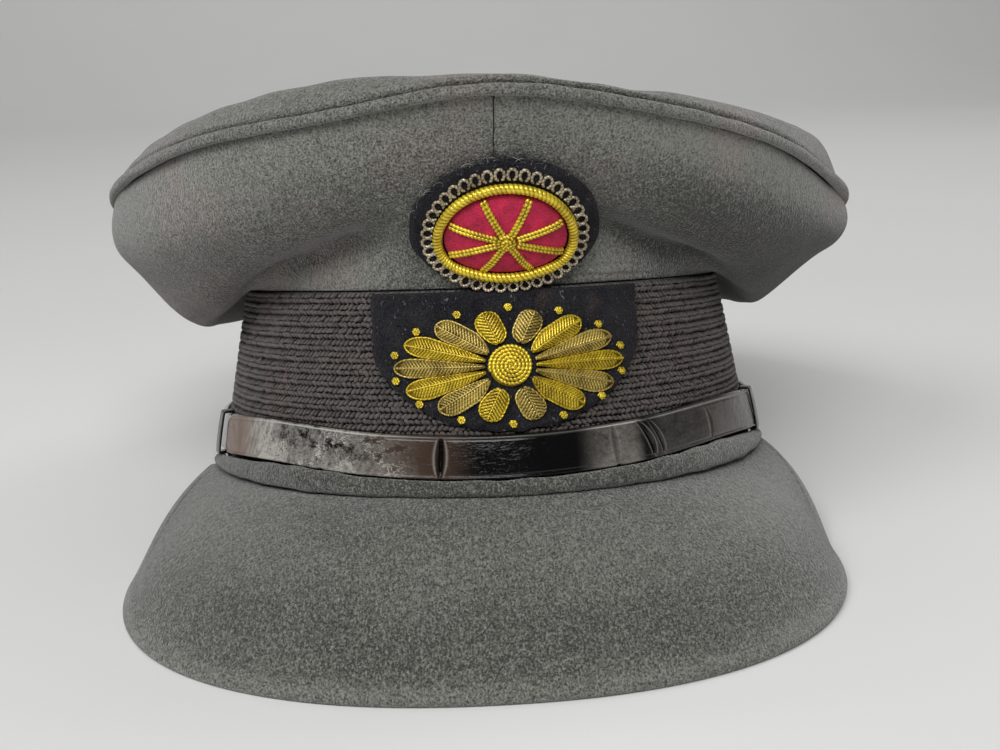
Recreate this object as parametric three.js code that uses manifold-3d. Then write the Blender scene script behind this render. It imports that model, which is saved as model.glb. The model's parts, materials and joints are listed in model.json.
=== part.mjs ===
// Service dress cap: cloth crown with a welted rim, ribbed mohair band, cloth-covered peak, patent
// leather chin strap on two buttons, and an embroidered badge of a cockade above a rosette.
// Millimetres, +Z up, front towards -Y. The pieces are worked out upright, with the band's rim on z = 0
// and its axis on x = y = 0. The finished cap is then tilted until it rests on the peak's edge and the
// band's rear rim, as it lies on a table. Angles run round the cap in degrees: 0 front, 90 at +X.
import * as THREE from 'three';
import { mergeVertices } from 'three/addons/utils/BufferGeometryUtils.js';
import Module from 'manifold-3d';

// General
const GAP = 0.3;
const CLOTH = 2;

// Band and its braid
const BAND_WIDTH = 169.6;
const BAND_LENGTH = 206.4;
const BAND_TOP_WIDTH = 151;
const BAND_TOP_LENGTH = 189.8;
const BAND_HEIGHT = 51;
const BAND_WALL = 3;
const BRAID_RIBS = 15;
const BRAID_RIB_DEPTH = 0.6;

// Crown
const CROWN_WIDTH = 228.4;
const CROWN_FRONT_REACH = 122;
const CROWN_BACK_REACH = 126;
const CROWN_RISE = 47.3;
const CROWN_INSET = 1;
const WELT_RADIUS = 2.2;
const TOP_PUFF = 9;
const TOP_MIDDLE_RISE = 27;

// Peak and the roll above it
const PEAK_WIDTH = 197.5;
const PEAK_REACH = 42;
const PEAK_DROP = 43.8;
const PEAK_THICKNESS = 3;
const PEAK_END_ANGLE = 77;
const PEAK_BULGE = 4;
const PEAK_SKEW = -4.5;
const PIPING_RADIUS = 1.8;

// Chin strap, keepers and buttons
const STRAP_WIDTH = 11.2;
const STRAP_THICKNESS = 1;
const STRAP_FRONT_HEIGHT = 7.8;
const STRAP_LIFT = 4;
const STRAP_END_ANGLE = 66;
const STRAP_TAIL_ANGLE = 5;
const BUTTON_ANGLE = 106;
const KEEPER_WALL = 0.7;
const KEEPER_WIDTH = 6;
const BUTTON_RADIUS = 6.5;
const BUTTON_DOME = 3.2;
const SHANK_RADIUS = 1.5;

// Badge
const BADGE_SHIFT = 2.8;
const BADGE_GAP = 0.5;
const FELT = 1.5;
const COCKADE_WIDTH = 37;
const COCKADE_HEIGHT = 27;
const COCKADE_DOME = 3.4;
const CORD_RADIUS = 1.3;
const RIB_COUNT = 8;
const ROSETTE_WIDTH = 58;
const ROSETTE_HEIGHT = 28;
const PETAL_COUNT = 14;
const PETAL_RELIEF = 1.6;
const BOSS_RADIUS = 5.8;
const BOSS_DOME = 3;

// Side crown, one row for each direction from the back (-180) round by the left (-90) and the front (0).
// rise: welt above the band. stand: how far the cloth keeps the direction in which it leaves the band.
// belly: how far before the welt it already points the way it arrives. sag: how deep it hangs over the
// band. These are shares of CROWN_RISE. leave and arrive: degrees above level. puff: the top panel's roll
// above the welt, share of TOP_PUFF.
const CROWN_ROWS = [
  { at: -180, rise: 0.27, leave: 35, stand: 0.28, arrive: 76, belly: 0.5, sag: 0.14, puff: 0.5 },
  { at: -140, rise: 0.32, leave: 35, stand: 0.28, arrive: 76, belly: 0.65, sag: 0.24, puff: 0.5 },
  { at: -110, rise: 0.42, leave: 22, stand: 0.28, arrive: 98, belly: 0.6, sag: 0.29, puff: 0.6 },
  { at: -85, rise: 0.55, leave: 20, stand: 0.27, arrive: 109, belly: 0.6, sag: 0.29, puff: 0.75 },
  { at: -62, rise: 0.7, leave: 28, stand: 0.26, arrive: 96, belly: 0.72, sag: 0.16, puff: 1.0 },
  { at: -42, rise: 0.83, leave: 55, stand: 0.28, arrive: 82, belly: 0.72, sag: 0, puff: 1.15 },
  { at: -22, rise: 0.9, leave: 74, stand: 0.36, arrive: 74, belly: 0.5, sag: 0, puff: 1.22 },
  { at: 0, rise: 1.0, leave: 80, stand: 0.42, arrive: 68, belly: 0.42, sag: 0, puff: 0.46 },
  { at: 22, rise: 0.885, leave: 74, stand: 0.36, arrive: 74, belly: 0.5, sag: 0, puff: 0.6 },
  { at: 42, rise: 0.735, leave: 55, stand: 0.28, arrive: 80, belly: 0.7, sag: 0, puff: 1.0 },
  { at: 62, rise: 0.53, leave: 28, stand: 0.26, arrive: 99, belly: 0.56, sag: 0.14, puff: 2.0 },
  { at: 85, rise: 0.38, leave: 22, stand: 0.27, arrive: 116, belly: 0.45, sag: 0.32, puff: 2.5 },
  { at: 110, rise: 0.31, leave: 26, stand: 0.28, arrive: 98, belly: 0.45, sag: 0.3, puff: 1.4 },
  { at: 140, rise: 0.28, leave: 35, stand: 0.28, arrive: 76, belly: 0.55, sag: 0.22, puff: 0.6 },
];

// Top panel from the middle out: out is the share of the way to the welt, roll the share of the puff.
const TOP_ROWS = [
  { out: 0.35, roll: 0.4 },
  { out: 0.65, roll: 0.8 },
  { out: 0.82, roll: 1.0 },
  { out: 0.91, roll: 0.84 },
  { out: 0.97, roll: 0.46 },
  { out: 1.0, roll: 0.0 },
];

// Chin strap, a row for each direction: lift is the strap's rise above its height in front, share of
// STRAP_LIFT
const STRAP_ROWS = [
  { at: -180, lift: 0 },
  { at: -106, lift: 0.05 },
  { at: -78, lift: 0.1 },
  { at: -48, lift: 0.65 },
  { at: -22, lift: 0.2 },
  { at: 0, lift: 0 },
  { at: 22, lift: 0.25 },
  { at: 50, lift: 0.8 },
  { at: 78, lift: 0.2 },
  { at: 106, lift: 0.1 },
];

// Cross-section steps
const AROUND = 48;
const BAND_STEPS = 36;
const CROWN_STEPS = 8;
const PEAK_STEPS = 26;
const PEAK_ROWS = 6;
const STRAP_STEPS = 32;

const wasm = await Module();
wasm.setup();

const mix = (from, to, share) => from + (to - from) * share;
const radians = (degrees) => degrees * Math.PI / 180;
const clamp01 = (value) => Math.min(1, Math.max(0, value));
const steps = (count) => Array.from({ length: count + 1 }, (_, i) => i / count);

function smoothStep(from, to, value) {
  const share = clamp01((value - from) / (to - from));
  return share * share * (3 - 2 * share);
}

// Smooth closed curve through one column of a table whose rows go round the cap
function around(rows, column, at) {
  const count = rows.length;
  const angle = ((at + 180) % 360 + 360) % 360 - 180;
  const first = rows.reduce((found, row, i) => (row.at <= angle ? i : found), 0);
  const knot = (i) => {
    const row = rows[(i + count) % count];
    return { x: row.at + 360 * Math.floor(i / count), y: row[column] };
  };
  const [a, b, c, d] = [-1, 0, 1, 2].map((i) => knot(first + i));
  const span = c.x - b.x;
  const s = (angle - b.x) / span;
  const startSlope = (c.y - a.y) / (c.x - a.x) * span;
  const endSlope = (d.y - b.y) / (d.x - b.x) * span;
  return b.y * (1 - 3 * s * s + 2 * s ** 3) + c.y * (3 * s * s - 2 * s ** 3)
    + startSlope * (s - 2 * s * s + s ** 3) + endSlope * (s ** 3 - s * s);
}

// One closed body from points and triangles, turned so that its faces point outwards
function closedBody(points, triangles) {
  const volume = triangles.reduce((sum, [a, b, c]) => (
    sum + points[a].dot(new THREE.Vector3().crossVectors(points[b], points[c]))), 0);
  const outward = volume > 0 ? triangles : triangles.map(([a, b, c]) => [a, c, b]);
  const geometry = new THREE.BufferGeometry().setFromPoints(points);
  geometry.setIndex(outward.flat());
  geometry.computeVertexNormals();
  return geometry;
}

// Skin between neighbouring rows of points, each row a closed loop
function skin(rows, ring) {
  const across = rows[0].length;
  const triangles = [];
  for (let i = 0; i < (ring ? rows.length : rows.length - 1); i++) {
    const next = (i + 1) % rows.length;
    for (let k = 0; k < across; k++) {
      const m = (k + 1) % across;
      triangles.push([i * across + k, i * across + m, next * across + m]);
      triangles.push([i * across + k, next * across + m, next * across + k]);
    }
  }
  return triangles;
}

// Body whose rows close on themselves like a hoop
function hoop(rows) {
  return closedBody(rows.flat(), skin(rows, true));
}

// Body with two ends. The points of each row run out along one face and back along the other, so an end
// is closed by bars between opposite points.
function strip(rows) {
  const across = rows[0].length;
  const triangles = skin(rows, false);
  const end = (rows.length - 1) * across;
  for (let i = 0; i < across / 2 - 1; i++) {
    const bar = [i, i + 1, across - 2 - i, across - 1 - i];
    triangles.push([bar[0], bar[2], bar[1]], [bar[0], bar[3], bar[2]]);
    const [a, b, c, d] = bar.map((k) => end + k);
    triangles.push([a, b, c], [a, c, d]);
  }
  return closedBody(rows.flat(), triangles);
}

// Body whose rows are rings around a first and a last point
function cushion(firstPoint, rows, lastPoint) {
  const across = rows[0].length;
  const triangles = skin(rows, false);
  const total = rows.length * across;
  for (let k = 0; k < across; k++) {
    const m = (k + 1) % across;
    triangles.push([total, m, k]);
    triangles.push([total + 1, total - across + k, total - across + m]);
  }
  return closedBody([...rows.flat(), firstPoint, lastPoint], triangles);
}

// Unit direction square to a surface point(a, b), found from its neighbours
function squareTo(point, a, b, step = 0.004) {
  const alongA = point(a + step, b).sub(point(a - step, b));
  const alongB = point(a, b + step).sub(point(a, b - step));
  return alongA.cross(alongB).normalize();
}

// The band's outer face at an angle, height and distance off the face, square to the face in plan
function bandPoint(angle, height, off = 0) {
  const share = height / BAND_HEIGHT;
  const halfWidth = mix(BAND_WIDTH, BAND_TOP_WIDTH, share) / 2;
  const halfLength = mix(BAND_LENGTH, BAND_TOP_LENGTH, share) / 2;
  const turn = radians(angle);
  const away = new THREE.Vector2(Math.sin(turn) / halfWidth, -Math.cos(turn) / halfLength).normalize();
  return new THREE.Vector3(
    halfWidth * Math.sin(turn) + off * away.x,
    -halfLength * Math.cos(turn) + off * away.y,
    height,
  );
}

// Plan of the crown's rim, and the height of the seam under the welt
function rimPoint(angle) {
  const turn = radians(angle);
  const reach = Math.cos(turn) > 0 ? CROWN_FRONT_REACH : CROWN_BACK_REACH;
  const height = BAND_HEIGHT + CROWN_RISE * around(CROWN_ROWS, 'rise', angle);
  return new THREE.Vector3(CROWN_WIDTH / 2 * Math.sin(turn), -reach * Math.cos(turn), height);
}

// How the sag is spread from the band (0) to the welt (1), deepest, 1, at 0.3 of the way
function sagShape(t) {
  return t ** 3 * (1 - t) ** 7 * 10 ** 10 / (3 ** 3 * 7 ** 7);
}

// The side crown's cloth, t from the band (0) to the welt (1), depth from its outside into the cap.
// In the upright plane through the rim it is a cubic curve with the table's two directions, less the sag.
function crownPoint(angle, t, depth = 0) {
  const foot = bandPoint(angle, BAND_HEIGHT, -CROWN_INSET);
  const rim = rimPoint(angle);
  const outward = new THREE.Vector3(rim.x - foot.x, rim.y - foot.y, 0);
  const reach = outward.length() - (WELT_RADIUS + GAP) / 3;
  outward.normalize();
  const column = (name) => around(CROWN_ROWS, name, angle);
  const leave = radians(column('leave'));
  const arrive = radians(column('arrive'));
  const stand = column('stand') * CROWN_RISE;
  const belly = column('belly') * CROWN_RISE;
  const curve = new THREE.CubicBezierCurve(
    new THREE.Vector2(0, GAP),
    new THREE.Vector2(stand * Math.cos(leave), GAP + stand * Math.sin(leave)),
    new THREE.Vector2(
      reach - belly * Math.cos(arrive),
      rim.z - BAND_HEIGHT - belly * Math.sin(arrive),
    ),
    new THREE.Vector2(reach, rim.z - BAND_HEIGHT),
  );
  const place = (share) => {
    const hang = column('sag') * CROWN_RISE * sagShape(share);
    return curve.getPoint(share).sub(new THREE.Vector2(0, hang));
  };
  const at = place(clamp01(t));
  const along = place(clamp01(t + 0.01)).sub(place(clamp01(t - 0.01))).normalize();
  const out = at.x - depth * along.y;
  const up = at.y + depth * along.x;
  return foot.clone().addScaledVector(outward, out).setZ(BAND_HEIGHT + up);
}

function weltCentre(angle) {
  return rimPoint(angle).add(new THREE.Vector3(0, 0, WELT_RADIUS + 0.8 * GAP));
}

// The top panel's upper face, share from the middle (0) to the welt (1)
function topPoint(angle, share) {
  const centre = weltCentre(angle);
  const inset = 1 - WELT_RADIUS * 0.7 / Math.hypot(centre.x, centre.y);
  const edgeHeight = centre.z + WELT_RADIUS + GAP / 2;
  const middleHeight = BAND_HEIGHT + TOP_MIDDLE_RISE;
  const row = Math.max(1, TOP_ROWS.findIndex((entry) => entry.out >= share));
  const [from, to] = [TOP_ROWS[row - 1], TOP_ROWS[row]];
  const roll = mix(from.roll, to.roll, (share - from.out) / (to.out - from.out));
  const puff = TOP_PUFF * around(CROWN_ROWS, 'puff', angle) * roll;
  const height = mix(middleHeight, edgeHeight, share ** 1.3) + puff;
  return new THREE.Vector3(centre.x * inset * share, centre.y * inset * share, height);
}

function bandGeometry() {
  const valleys = 2 * BRAID_RIBS;
  const face = steps(valleys).map((share, i) => ({
    height: share * BAND_HEIGHT,
    off: i % 2 ? 0 : -BRAID_RIB_DEPTH,
  }));
  const profile = [...face, { height: BAND_HEIGHT, off: -BAND_WALL }, { height: 0, off: -BAND_WALL }];
  return hoop(steps(BAND_STEPS).slice(1).map((share) => (
    profile.map(({ height, off }) => bandPoint(share * 360, height, off)))));
}

function sideCrownGeometry(side) {
  const seam = Math.asin(GAP / 2 / CROWN_FRONT_REACH) * 180 / Math.PI;
  return strip(steps(AROUND / 2).map((share) => {
    const angle = side * mix(seam, 180 - seam, share);
    const rise = steps(CROWN_STEPS).map((step) => step ** 1.4);
    const outside = rise.map((t) => crownPoint(angle, t));
    const inside = rise.map((t) => crownPoint(angle, t, CLOTH)).reverse();
    return [...outside, ...inside];
  }));
}

function weltGeometry() {
  const sides = 6;
  return hoop(steps(AROUND).slice(1).map((share) => {
    const angle = share * 360;
    const centre = weltCentre(angle);
    const outward = new THREE.Vector3(centre.x, centre.y, 0).normalize();
    return steps(sides).slice(1).map((turn) => centre.clone()
      .addScaledVector(outward, WELT_RADIUS * Math.cos(turn * 2 * Math.PI))
      .add(new THREE.Vector3(0, 0, WELT_RADIUS * Math.sin(turn * 2 * Math.PI))));
  }));
}

function topGeometry() {
  const angles = steps(AROUND).slice(1).map((share) => share * 360);
  const face = (share) => angles.map((angle) => topPoint(angle, share));
  const upper = TOP_ROWS.map((row) => face(row.out));
  const lower = [...TOP_ROWS].reverse().map((row) => angles.map((angle) => {
    const point = topPoint(angle, row.out);
    const up = squareTo((a, b) => topPoint(a, b), angle, Math.min(row.out, 1 - 0.004));
    return point.addScaledVector(up.z > 0 ? up : up.negate(), -CLOTH);
  }));
  const middle = new THREE.Vector3(0, 0, topPoint(0, 0).z);
  return cushion(middle, [...upper, ...lower], middle.clone().setZ(middle.z - CLOTH));
}

// Depth of the peak's wall under the band's rim where it is sewn on: at the corners, where the peak lies
// level, it passes under the roll
function peakSeat(u) {
  const front = PEAK_THICKNESS / 2 + 3 * GAP;
  const corner = PEAK_THICKNESS / 2 + PIPING_RADIUS + 3 * GAP;
  return mix(front, corner, smoothStep(0.1, 0.7, Math.abs(u)));
}

// The peak's free edge in plan and height, u from one corner (-1) by the front (0) to the other (1).
// From lobe to lobe it lies in the resting plane, and beyond the lobes it climbs to the band.
function peakEdge(u) {
  const side = Math.sign(u) || 1;
  const frontReach = BAND_LENGTH / 2 + PEAK_REACH;
  const slope = PEAK_DROP / (BAND_LENGTH / 2 + frontReach);
  const planeHeight = (y) => -(BAND_LENGTH / 2 - y) * slope + PEAK_THICKNESS / 2;
  const lobe = { share: 0.68, x: PEAK_WIDTH / 2, y: -0.69 * BAND_LENGTH / 2 };
  const fullness = 2 / 2.25;
  const share = Math.abs(u);
  if (share <= lobe.share) {
    const turn = share / lobe.share * Math.PI / 2;
    const y = lobe.y - (frontReach + lobe.y) * Math.cos(turn) ** fullness;
    const x = side * lobe.x * Math.sin(turn) ** fullness;
    return new THREE.Vector3(x + PEAK_SKEW, y, planeHeight(y));
  }
  const corner = bandPoint(PEAK_END_ANGLE, -peakSeat(1), 2 * PIPING_RADIUS);
  const back = (corner.y - lobe.y) * 0.4;
  const climb = new THREE.CubicBezierCurve3(
    new THREE.Vector3(lobe.x, lobe.y, planeHeight(lobe.y)),
    new THREE.Vector3(lobe.x, lobe.y + back, planeHeight(lobe.y + back)),
    new THREE.Vector3(mix(corner.x, lobe.x, 0.95), corner.y - back, corner.z - 0.5 * back),
    corner,
  );
  const rest = (share - lobe.share) / (1 - lobe.share);
  const point = climb.getPoint(rest);
  return point.setX(side * point.x + PEAK_SKEW * (1 - rest));
}

// Middle of the peak's wall, v from the band (0) to the rolled edge (1), bulged above the straight line
function peakPoint(u, v) {
  const seat = peakSeat(u);
  const root = bandPoint(u * PEAK_END_ANGLE, -seat, -BAND_WALL / 3);
  const edge = peakEdge(u);
  const chord = edge.clone().sub(root);
  const sideways = bandPoint(u * PEAK_END_ANGLE + 1, -seat).sub(bandPoint(u * PEAK_END_ANGLE - 1, -seat));
  const up = sideways.cross(chord).normalize();
  const bulge = PEAK_BULGE * clamp01(chord.length() / PEAK_DROP) * 4 * v * (1 - v);
  return root.addScaledVector(chord, v).addScaledVector(up.z > 0 ? up : up.negate(), bulge);
}

function peakGeometry() {
  const half = PEAK_THICKNESS / 2;
  return strip(steps(PEAK_STEPS).map((share) => {
    const u = mix(-1, 1, share);
    const inside = clamp01(1 - Math.abs(u)) < 0.01 ? u * 0.99 : u;
    const upAt = (v) => {
      const up = squareTo(peakPoint, inside, Math.min(v, 0.99));
      return up.z > 0 ? up : up.negate();
    };
    const face = (v, turn) => peakPoint(u, v).addScaledVector(upAt(v), turn * half);
    const edge = peakPoint(u, 1);
    const outward = edge.clone().sub(peakPoint(u, 0.94)).normalize();
    const rolled = [54, 18, -18, -54].map((turn) => edge.clone()
      .addScaledVector(upAt(1), half * Math.sin(radians(turn)))
      .addScaledVector(outward, half * Math.cos(radians(turn))));
    const upper = steps(PEAK_ROWS).map((v) => face(v, 1));
    const lower = steps(PEAK_ROWS).map((v) => face(1 - v, -1));
    return [...upper, ...rolled, ...lower];
  }));
}

// The roll over the seam between band and peak: it fills the height from the peak up to the strap
function pipingGeometry() {
  const sides = 6;
  const foot = -GAP - PIPING_RADIUS;
  return strip(steps(STRAP_STEPS).map((share) => {
    const angle = mix(-PEAK_END_ANGLE, PEAK_END_ANGLE, share);
    const top = strapHeight(angle) - STRAP_WIDTH / 2 - GAP - (KEEPER_WALL + GAP) * nearKeeper(angle);
    const taper = mix(0.6, 1, smoothStep(0, 0.02, Math.min(share, 1 - share)));
    return steps(sides).slice(1).map((turn) => bandPoint(
      angle,
      (top + foot) / 2 + (top - foot) / 2 * taper * Math.sin(turn * 2 * Math.PI),
      PIPING_RADIUS + 2 * GAP + PIPING_RADIUS * taper * Math.cos(turn * 2 * Math.PI),
    ));
  }));
}

function strapHeight(angle) {
  return STRAP_FRONT_HEIGHT + STRAP_LIFT * around(STRAP_ROWS, 'lift', angle);
}

// How near an angle is to the keepers, from half way to them (0) to beside them (1)
function nearKeeper(angle) {
  return smoothStep(0.5 * STRAP_END_ANGLE, 0.95 * STRAP_END_ANGLE, Math.abs(angle));
}

// Distance of a strap layer off the band: the layers lie close in front and stand off at the keepers
function strapOff(angle, layer) {
  return GAP + (KEEPER_WALL + GAP) * nearKeeper(angle) + layer * (STRAP_THICKNESS + GAP);
}

// One strap from angle to angle, its free end rounded and the other pierced for the button's shank
function strapGeometry(freeEnd, buttonEnd, layer) {
  const length = Math.abs(buttonEnd - freeEnd);
  const body = strip(steps(STRAP_STEPS).map((share) => {
    const angle = mix(freeEnd, buttonEnd, share);
    const rounding = Math.min(share, 1 - share) * length / 2.2;
    const half = STRAP_WIDTH / 2 * mix(0.72, 1, Math.sqrt(clamp01(rounding)));
    const near = strapOff(angle, layer);
    const far = near + STRAP_THICKNESS;
    const height = strapHeight(angle);
    return [
      bandPoint(angle, height - half, near),
      bandPoint(angle, height - half, far - STRAP_THICKNESS / 4),
      bandPoint(angle, height - half * 0.8, far),
      bandPoint(angle, height + half * 0.8, far),
      bandPoint(angle, height + half, far - STRAP_THICKNESS / 4),
      bandPoint(angle, height + half, near),
    ];
  }));
  const eyeAngle = Math.sign(buttonEnd) * BUTTON_ANGLE;
  const shank = buttonSeat(eyeAngle);
  const punch = new THREE.CylinderGeometry(SHANK_RADIUS + GAP, SHANK_RADIUS + GAP, BAND_WALL * 6, 12);
  punch.applyQuaternion(shank.turn);
  punch.translate(shank.foot.x, shank.foot.y, shank.foot.z);
  return cutAway(body, punch);
}

function asManifold(geometry) {
  const bare = geometry.clone();
  bare.deleteAttribute('normal');
  bare.deleteAttribute('uv');
  const merged = mergeVertices(bare, 1e-5);
  return new wasm.Manifold(new wasm.Mesh({
    numProp: 3,
    vertProperties: new Float32Array(merged.attributes.position.array),
    triVerts: new Uint32Array(merged.index.array),
  }));
}

function cutAway(body, tool) {
  const { vertProperties, triVerts } = asManifold(body).subtract(asManifold(tool)).getMesh();
  const geometry = new THREE.BufferGeometry();
  geometry.setAttribute('position', new THREE.BufferAttribute(vertProperties, 3));
  geometry.setIndex(new THREE.BufferAttribute(triVerts, 1));
  geometry.computeVertexNormals();
  return geometry;
}

// A keeper is a loop of leather round the strap layers from the first to the last
function keeperGeometry(angle, firstLayer, lastLayer) {
  const halfTurn = KEEPER_WIDTH / 2 / bandPoint(90, 0).x * 180 / Math.PI;
  const near = strapOff(angle, firstLayer) - GAP;
  const far = strapOff(angle, lastLayer) + STRAP_THICKNESS + GAP;
  const half = STRAP_WIDTH / 2 + GAP;
  const middle = (near + far) / 2;
  const deep = (far - near) / 2;
  const cornerCut = 0.35;
  const loop = [[1, 1 - cornerCut], [1 - cornerCut, 1], [cornerCut - 1, 1], [-1, 1 - cornerCut],
    [-1, cornerCut - 1], [cornerCut - 1, -1], [1 - cornerCut, -1], [1, cornerCut - 1]];
  return hoop(loop.map(([depthShare, heightShare]) => {
    const rise = Math.sign(heightShare) * (half - deep * (1 - Math.abs(heightShare)));
    const corner = (turn, wall) => bandPoint(
      angle + turn,
      strapHeight(angle) + rise + wall * heightShare,
      middle + Math.sign(depthShare) * deep + wall * depthShare,
    );
    return [
      corner(-halfTurn, 0),
      corner(-halfTurn, KEEPER_WALL),
      corner(halfTurn, KEEPER_WALL),
      corner(halfTurn, 0),
    ];
  }));
}

function buttonSeat(angle) {
  const height = strapHeight(angle);
  const foot = bandPoint(angle, height, GAP);
  const away = squareTo(bandPoint, angle, height, 0.5);
  if (away.x * foot.x < 0) away.negate();
  const turn = new THREE.Quaternion().setFromUnitVectors(new THREE.Vector3(0, 1, 0), away);
  return { foot, turn };
}

// A domed button with its shank, turned about its own axis
function buttonGeometry(layer) {
  const neck = strapOff(BUTTON_ANGLE, layer) + STRAP_THICKNESS;
  const profile = [
    [0, 0],
    [SHANK_RADIUS, 0],
    [SHANK_RADIUS, neck],
    [BUTTON_RADIUS * 0.9, neck],
    [BUTTON_RADIUS, neck + BUTTON_DOME * 0.25],
    [BUTTON_RADIUS * 0.86, neck + BUTTON_DOME * 0.6],
    [BUTTON_RADIUS * 0.5, neck + BUTTON_DOME * 0.92],
    [0, neck + BUTTON_DOME],
  ].map(([radius, height]) => new THREE.Vector2(radius, height));
  return new THREE.LatheGeometry(profile, 12);
}

// Outside of the cap's front at x across and z up, with a distance off it: the band and then the crown
function frontPoint(x, z, off) {
  if (z <= BAND_HEIGHT) {
    const halfWidth = mix(BAND_WIDTH, BAND_TOP_WIDTH, z / BAND_HEIGHT) / 2;
    return bandPoint(Math.asin(x / halfWidth) * 180 / Math.PI, z, off);
  }
  let angle = Math.asin(x / (BAND_TOP_WIDTH / 2)) * 180 / Math.PI;
  let point = crownPoint(angle, 0);
  let share = 0;
  for (let pass = 0; pass < 6; pass++) {
    let [low, high] = [0, 1];
    for (let halving = 0; halving < 18; halving++) {
      share = (low + high) / 2;
      point = crownPoint(angle, share);
      [low, high] = point.z < z ? [share, high] : [low, share];
    }
    angle += (x - point.x) / CROWN_FRONT_REACH * 180 / Math.PI;
  }
  const away = squareTo(crownPoint, angle, share);
  const lift = Math.max(off, 0) + CROWN_INSET * smoothStep(BAND_HEIGHT + 8, BAND_HEIGHT, z);
  return point.addScaledVector(away.y < 0 ? away : away.negate(), lift);
}

// A padded shape on the badge. outline(turn) gives its edge as [x, z] about centre, in the badge's plane.
// rings are shares of the outline, and crest(share) is the shape's height there.
function badgePad({ centre, outline, spokes, rings, base, crest }) {
  const turns = steps(spokes).slice(1).map((share) => share * 2 * Math.PI);
  const ring = (share, off) => turns.map((turn) => {
    const [x, z] = outline(turn);
    return frontPoint(centre.x + share * x, centre.z + share * z, off);
  });
  const back = rings.map((share) => ring(share, base));
  const front = [...rings].reverse().map((share) => ring(share, base + crest(share)));
  return cushion(
    frontPoint(centre.x, centre.z, base),
    [...back, ...front],
    frontPoint(centre.x, centre.z, base + crest(0)),
  );
}

const oval = (width, height) => (turn) => [width / 2 * Math.cos(turn), height / 2 * Math.sin(turn)];

const cockadeCentre = { x: BADGE_SHIFT, z: BAND_HEIGHT + 0.32 * CROWN_RISE };
const rosetteCentre = { x: BADGE_SHIFT, z: 0.6 * BAND_HEIGHT };
const feltMargin = 6;
const onFelt = BADGE_GAP + FELT + GAP;

// Lower felt: a shield with a straight top under the crown and a rounded foot above the strap. It is
// made of upright bars from side to side.
function lowerFeltGeometry() {
  const halfWidth = ROSETTE_WIDTH / 2 + feltMargin;
  const top = BAND_HEIGHT - 2 * GAP;
  const foot = STRAP_FRONT_HEIGHT + STRAP_WIDTH / 2 + 2 * GAP;
  const shoulder = mix(foot, top, 0.6);
  return strip(steps(16).map((step) => {
    const across = -Math.cos(step * Math.PI);
    const low = shoulder - (shoulder - foot) * (1 - Math.abs(across) ** 2.2) ** 0.62;
    const bar = (off) => steps(3).map((share) => (
      frontPoint(BADGE_SHIFT + halfWidth * across, mix(low, top, share), off)));
    return [...bar(BADGE_GAP), ...bar(BADGE_GAP + FELT).reverse()];
  }));
}

function upperFeltGeometry() {
  const top = cockadeCentre.z + COCKADE_HEIGHT / 2 + 0.7 * feltMargin;
  const foot = BAND_HEIGHT - GAP;
  return badgePad({
    centre: { x: cockadeCentre.x, z: (top + foot) / 2 },
    outline: oval(COCKADE_WIDTH + 2 * feltMargin, top - foot),
    spokes: 24,
    rings: [0.4, 0.72, 1],
    base: BADGE_GAP,
    crest: () => FELT,
  });
}

const velvetWidth = COCKADE_WIDTH - 4 * CORD_RADIUS - 2 * GAP;
const velvetHeight = COCKADE_HEIGHT - 4 * CORD_RADIUS - 2 * GAP;
const velvetCrest = (share) => 0.6 + COCKADE_DOME * Math.sqrt(1 - share * share);

function velvetGeometry() {
  return badgePad({
    centre: cockadeCentre,
    outline: oval(velvetWidth, velvetHeight),
    spokes: 20,
    rings: [0.5, 0.85, 1],
    base: onFelt,
    crest: velvetCrest,
  });
}

// The cord round the velvet
function cockadeCordGeometry() {
  const sides = 6;
  return hoop(steps(28).slice(1).map((share) => {
    const turn = share * 2 * Math.PI;
    return steps(sides).slice(1).map((section) => {
      const swell = 2 * CORD_RADIUS * (Math.cos(section * 2 * Math.PI) - 1);
      const [x, z] = oval(COCKADE_WIDTH + swell, COCKADE_HEIGHT + swell)(turn);
      const off = onFelt + CORD_RADIUS * (1 + Math.sin(section * 2 * Math.PI));
      return frontPoint(cockadeCentre.x + x, cockadeCentre.z + z, off);
    });
  }));
}

// One gold rib from the cockade's knot to its cord, laid over the velvet's dome
function ribGeometry(turn) {
  const knotShare = 0.26;
  const halfWidth = 0.75;
  const thickness = 0.8;
  return strip(steps(4).map((step) => {
    const share = mix(knotShare, 0.97, step);
    const [x, z] = oval(velvetWidth, velvetHeight)(turn);
    const sideways = new THREE.Vector2(-z, x).normalize().multiplyScalar(halfWidth);
    const base = onFelt + velvetCrest(share) + GAP;
    const at = (side, off) => frontPoint(
      cockadeCentre.x + share * x + side * sideways.x,
      cockadeCentre.z + share * z + side * sideways.y,
      off,
    );
    return [at(-1, base), at(-0.8, base + thickness), at(0.8, base + thickness), at(1, base)];
  }));
}

function knotGeometry() {
  return badgePad({
    centre: cockadeCentre,
    outline: oval(4, 4),
    spokes: 10,
    rings: [1],
    base: onFelt + velvetCrest(0) + GAP,
    crest: (share) => (share === 0 ? 1.6 : 0.7),
  });
}

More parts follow.
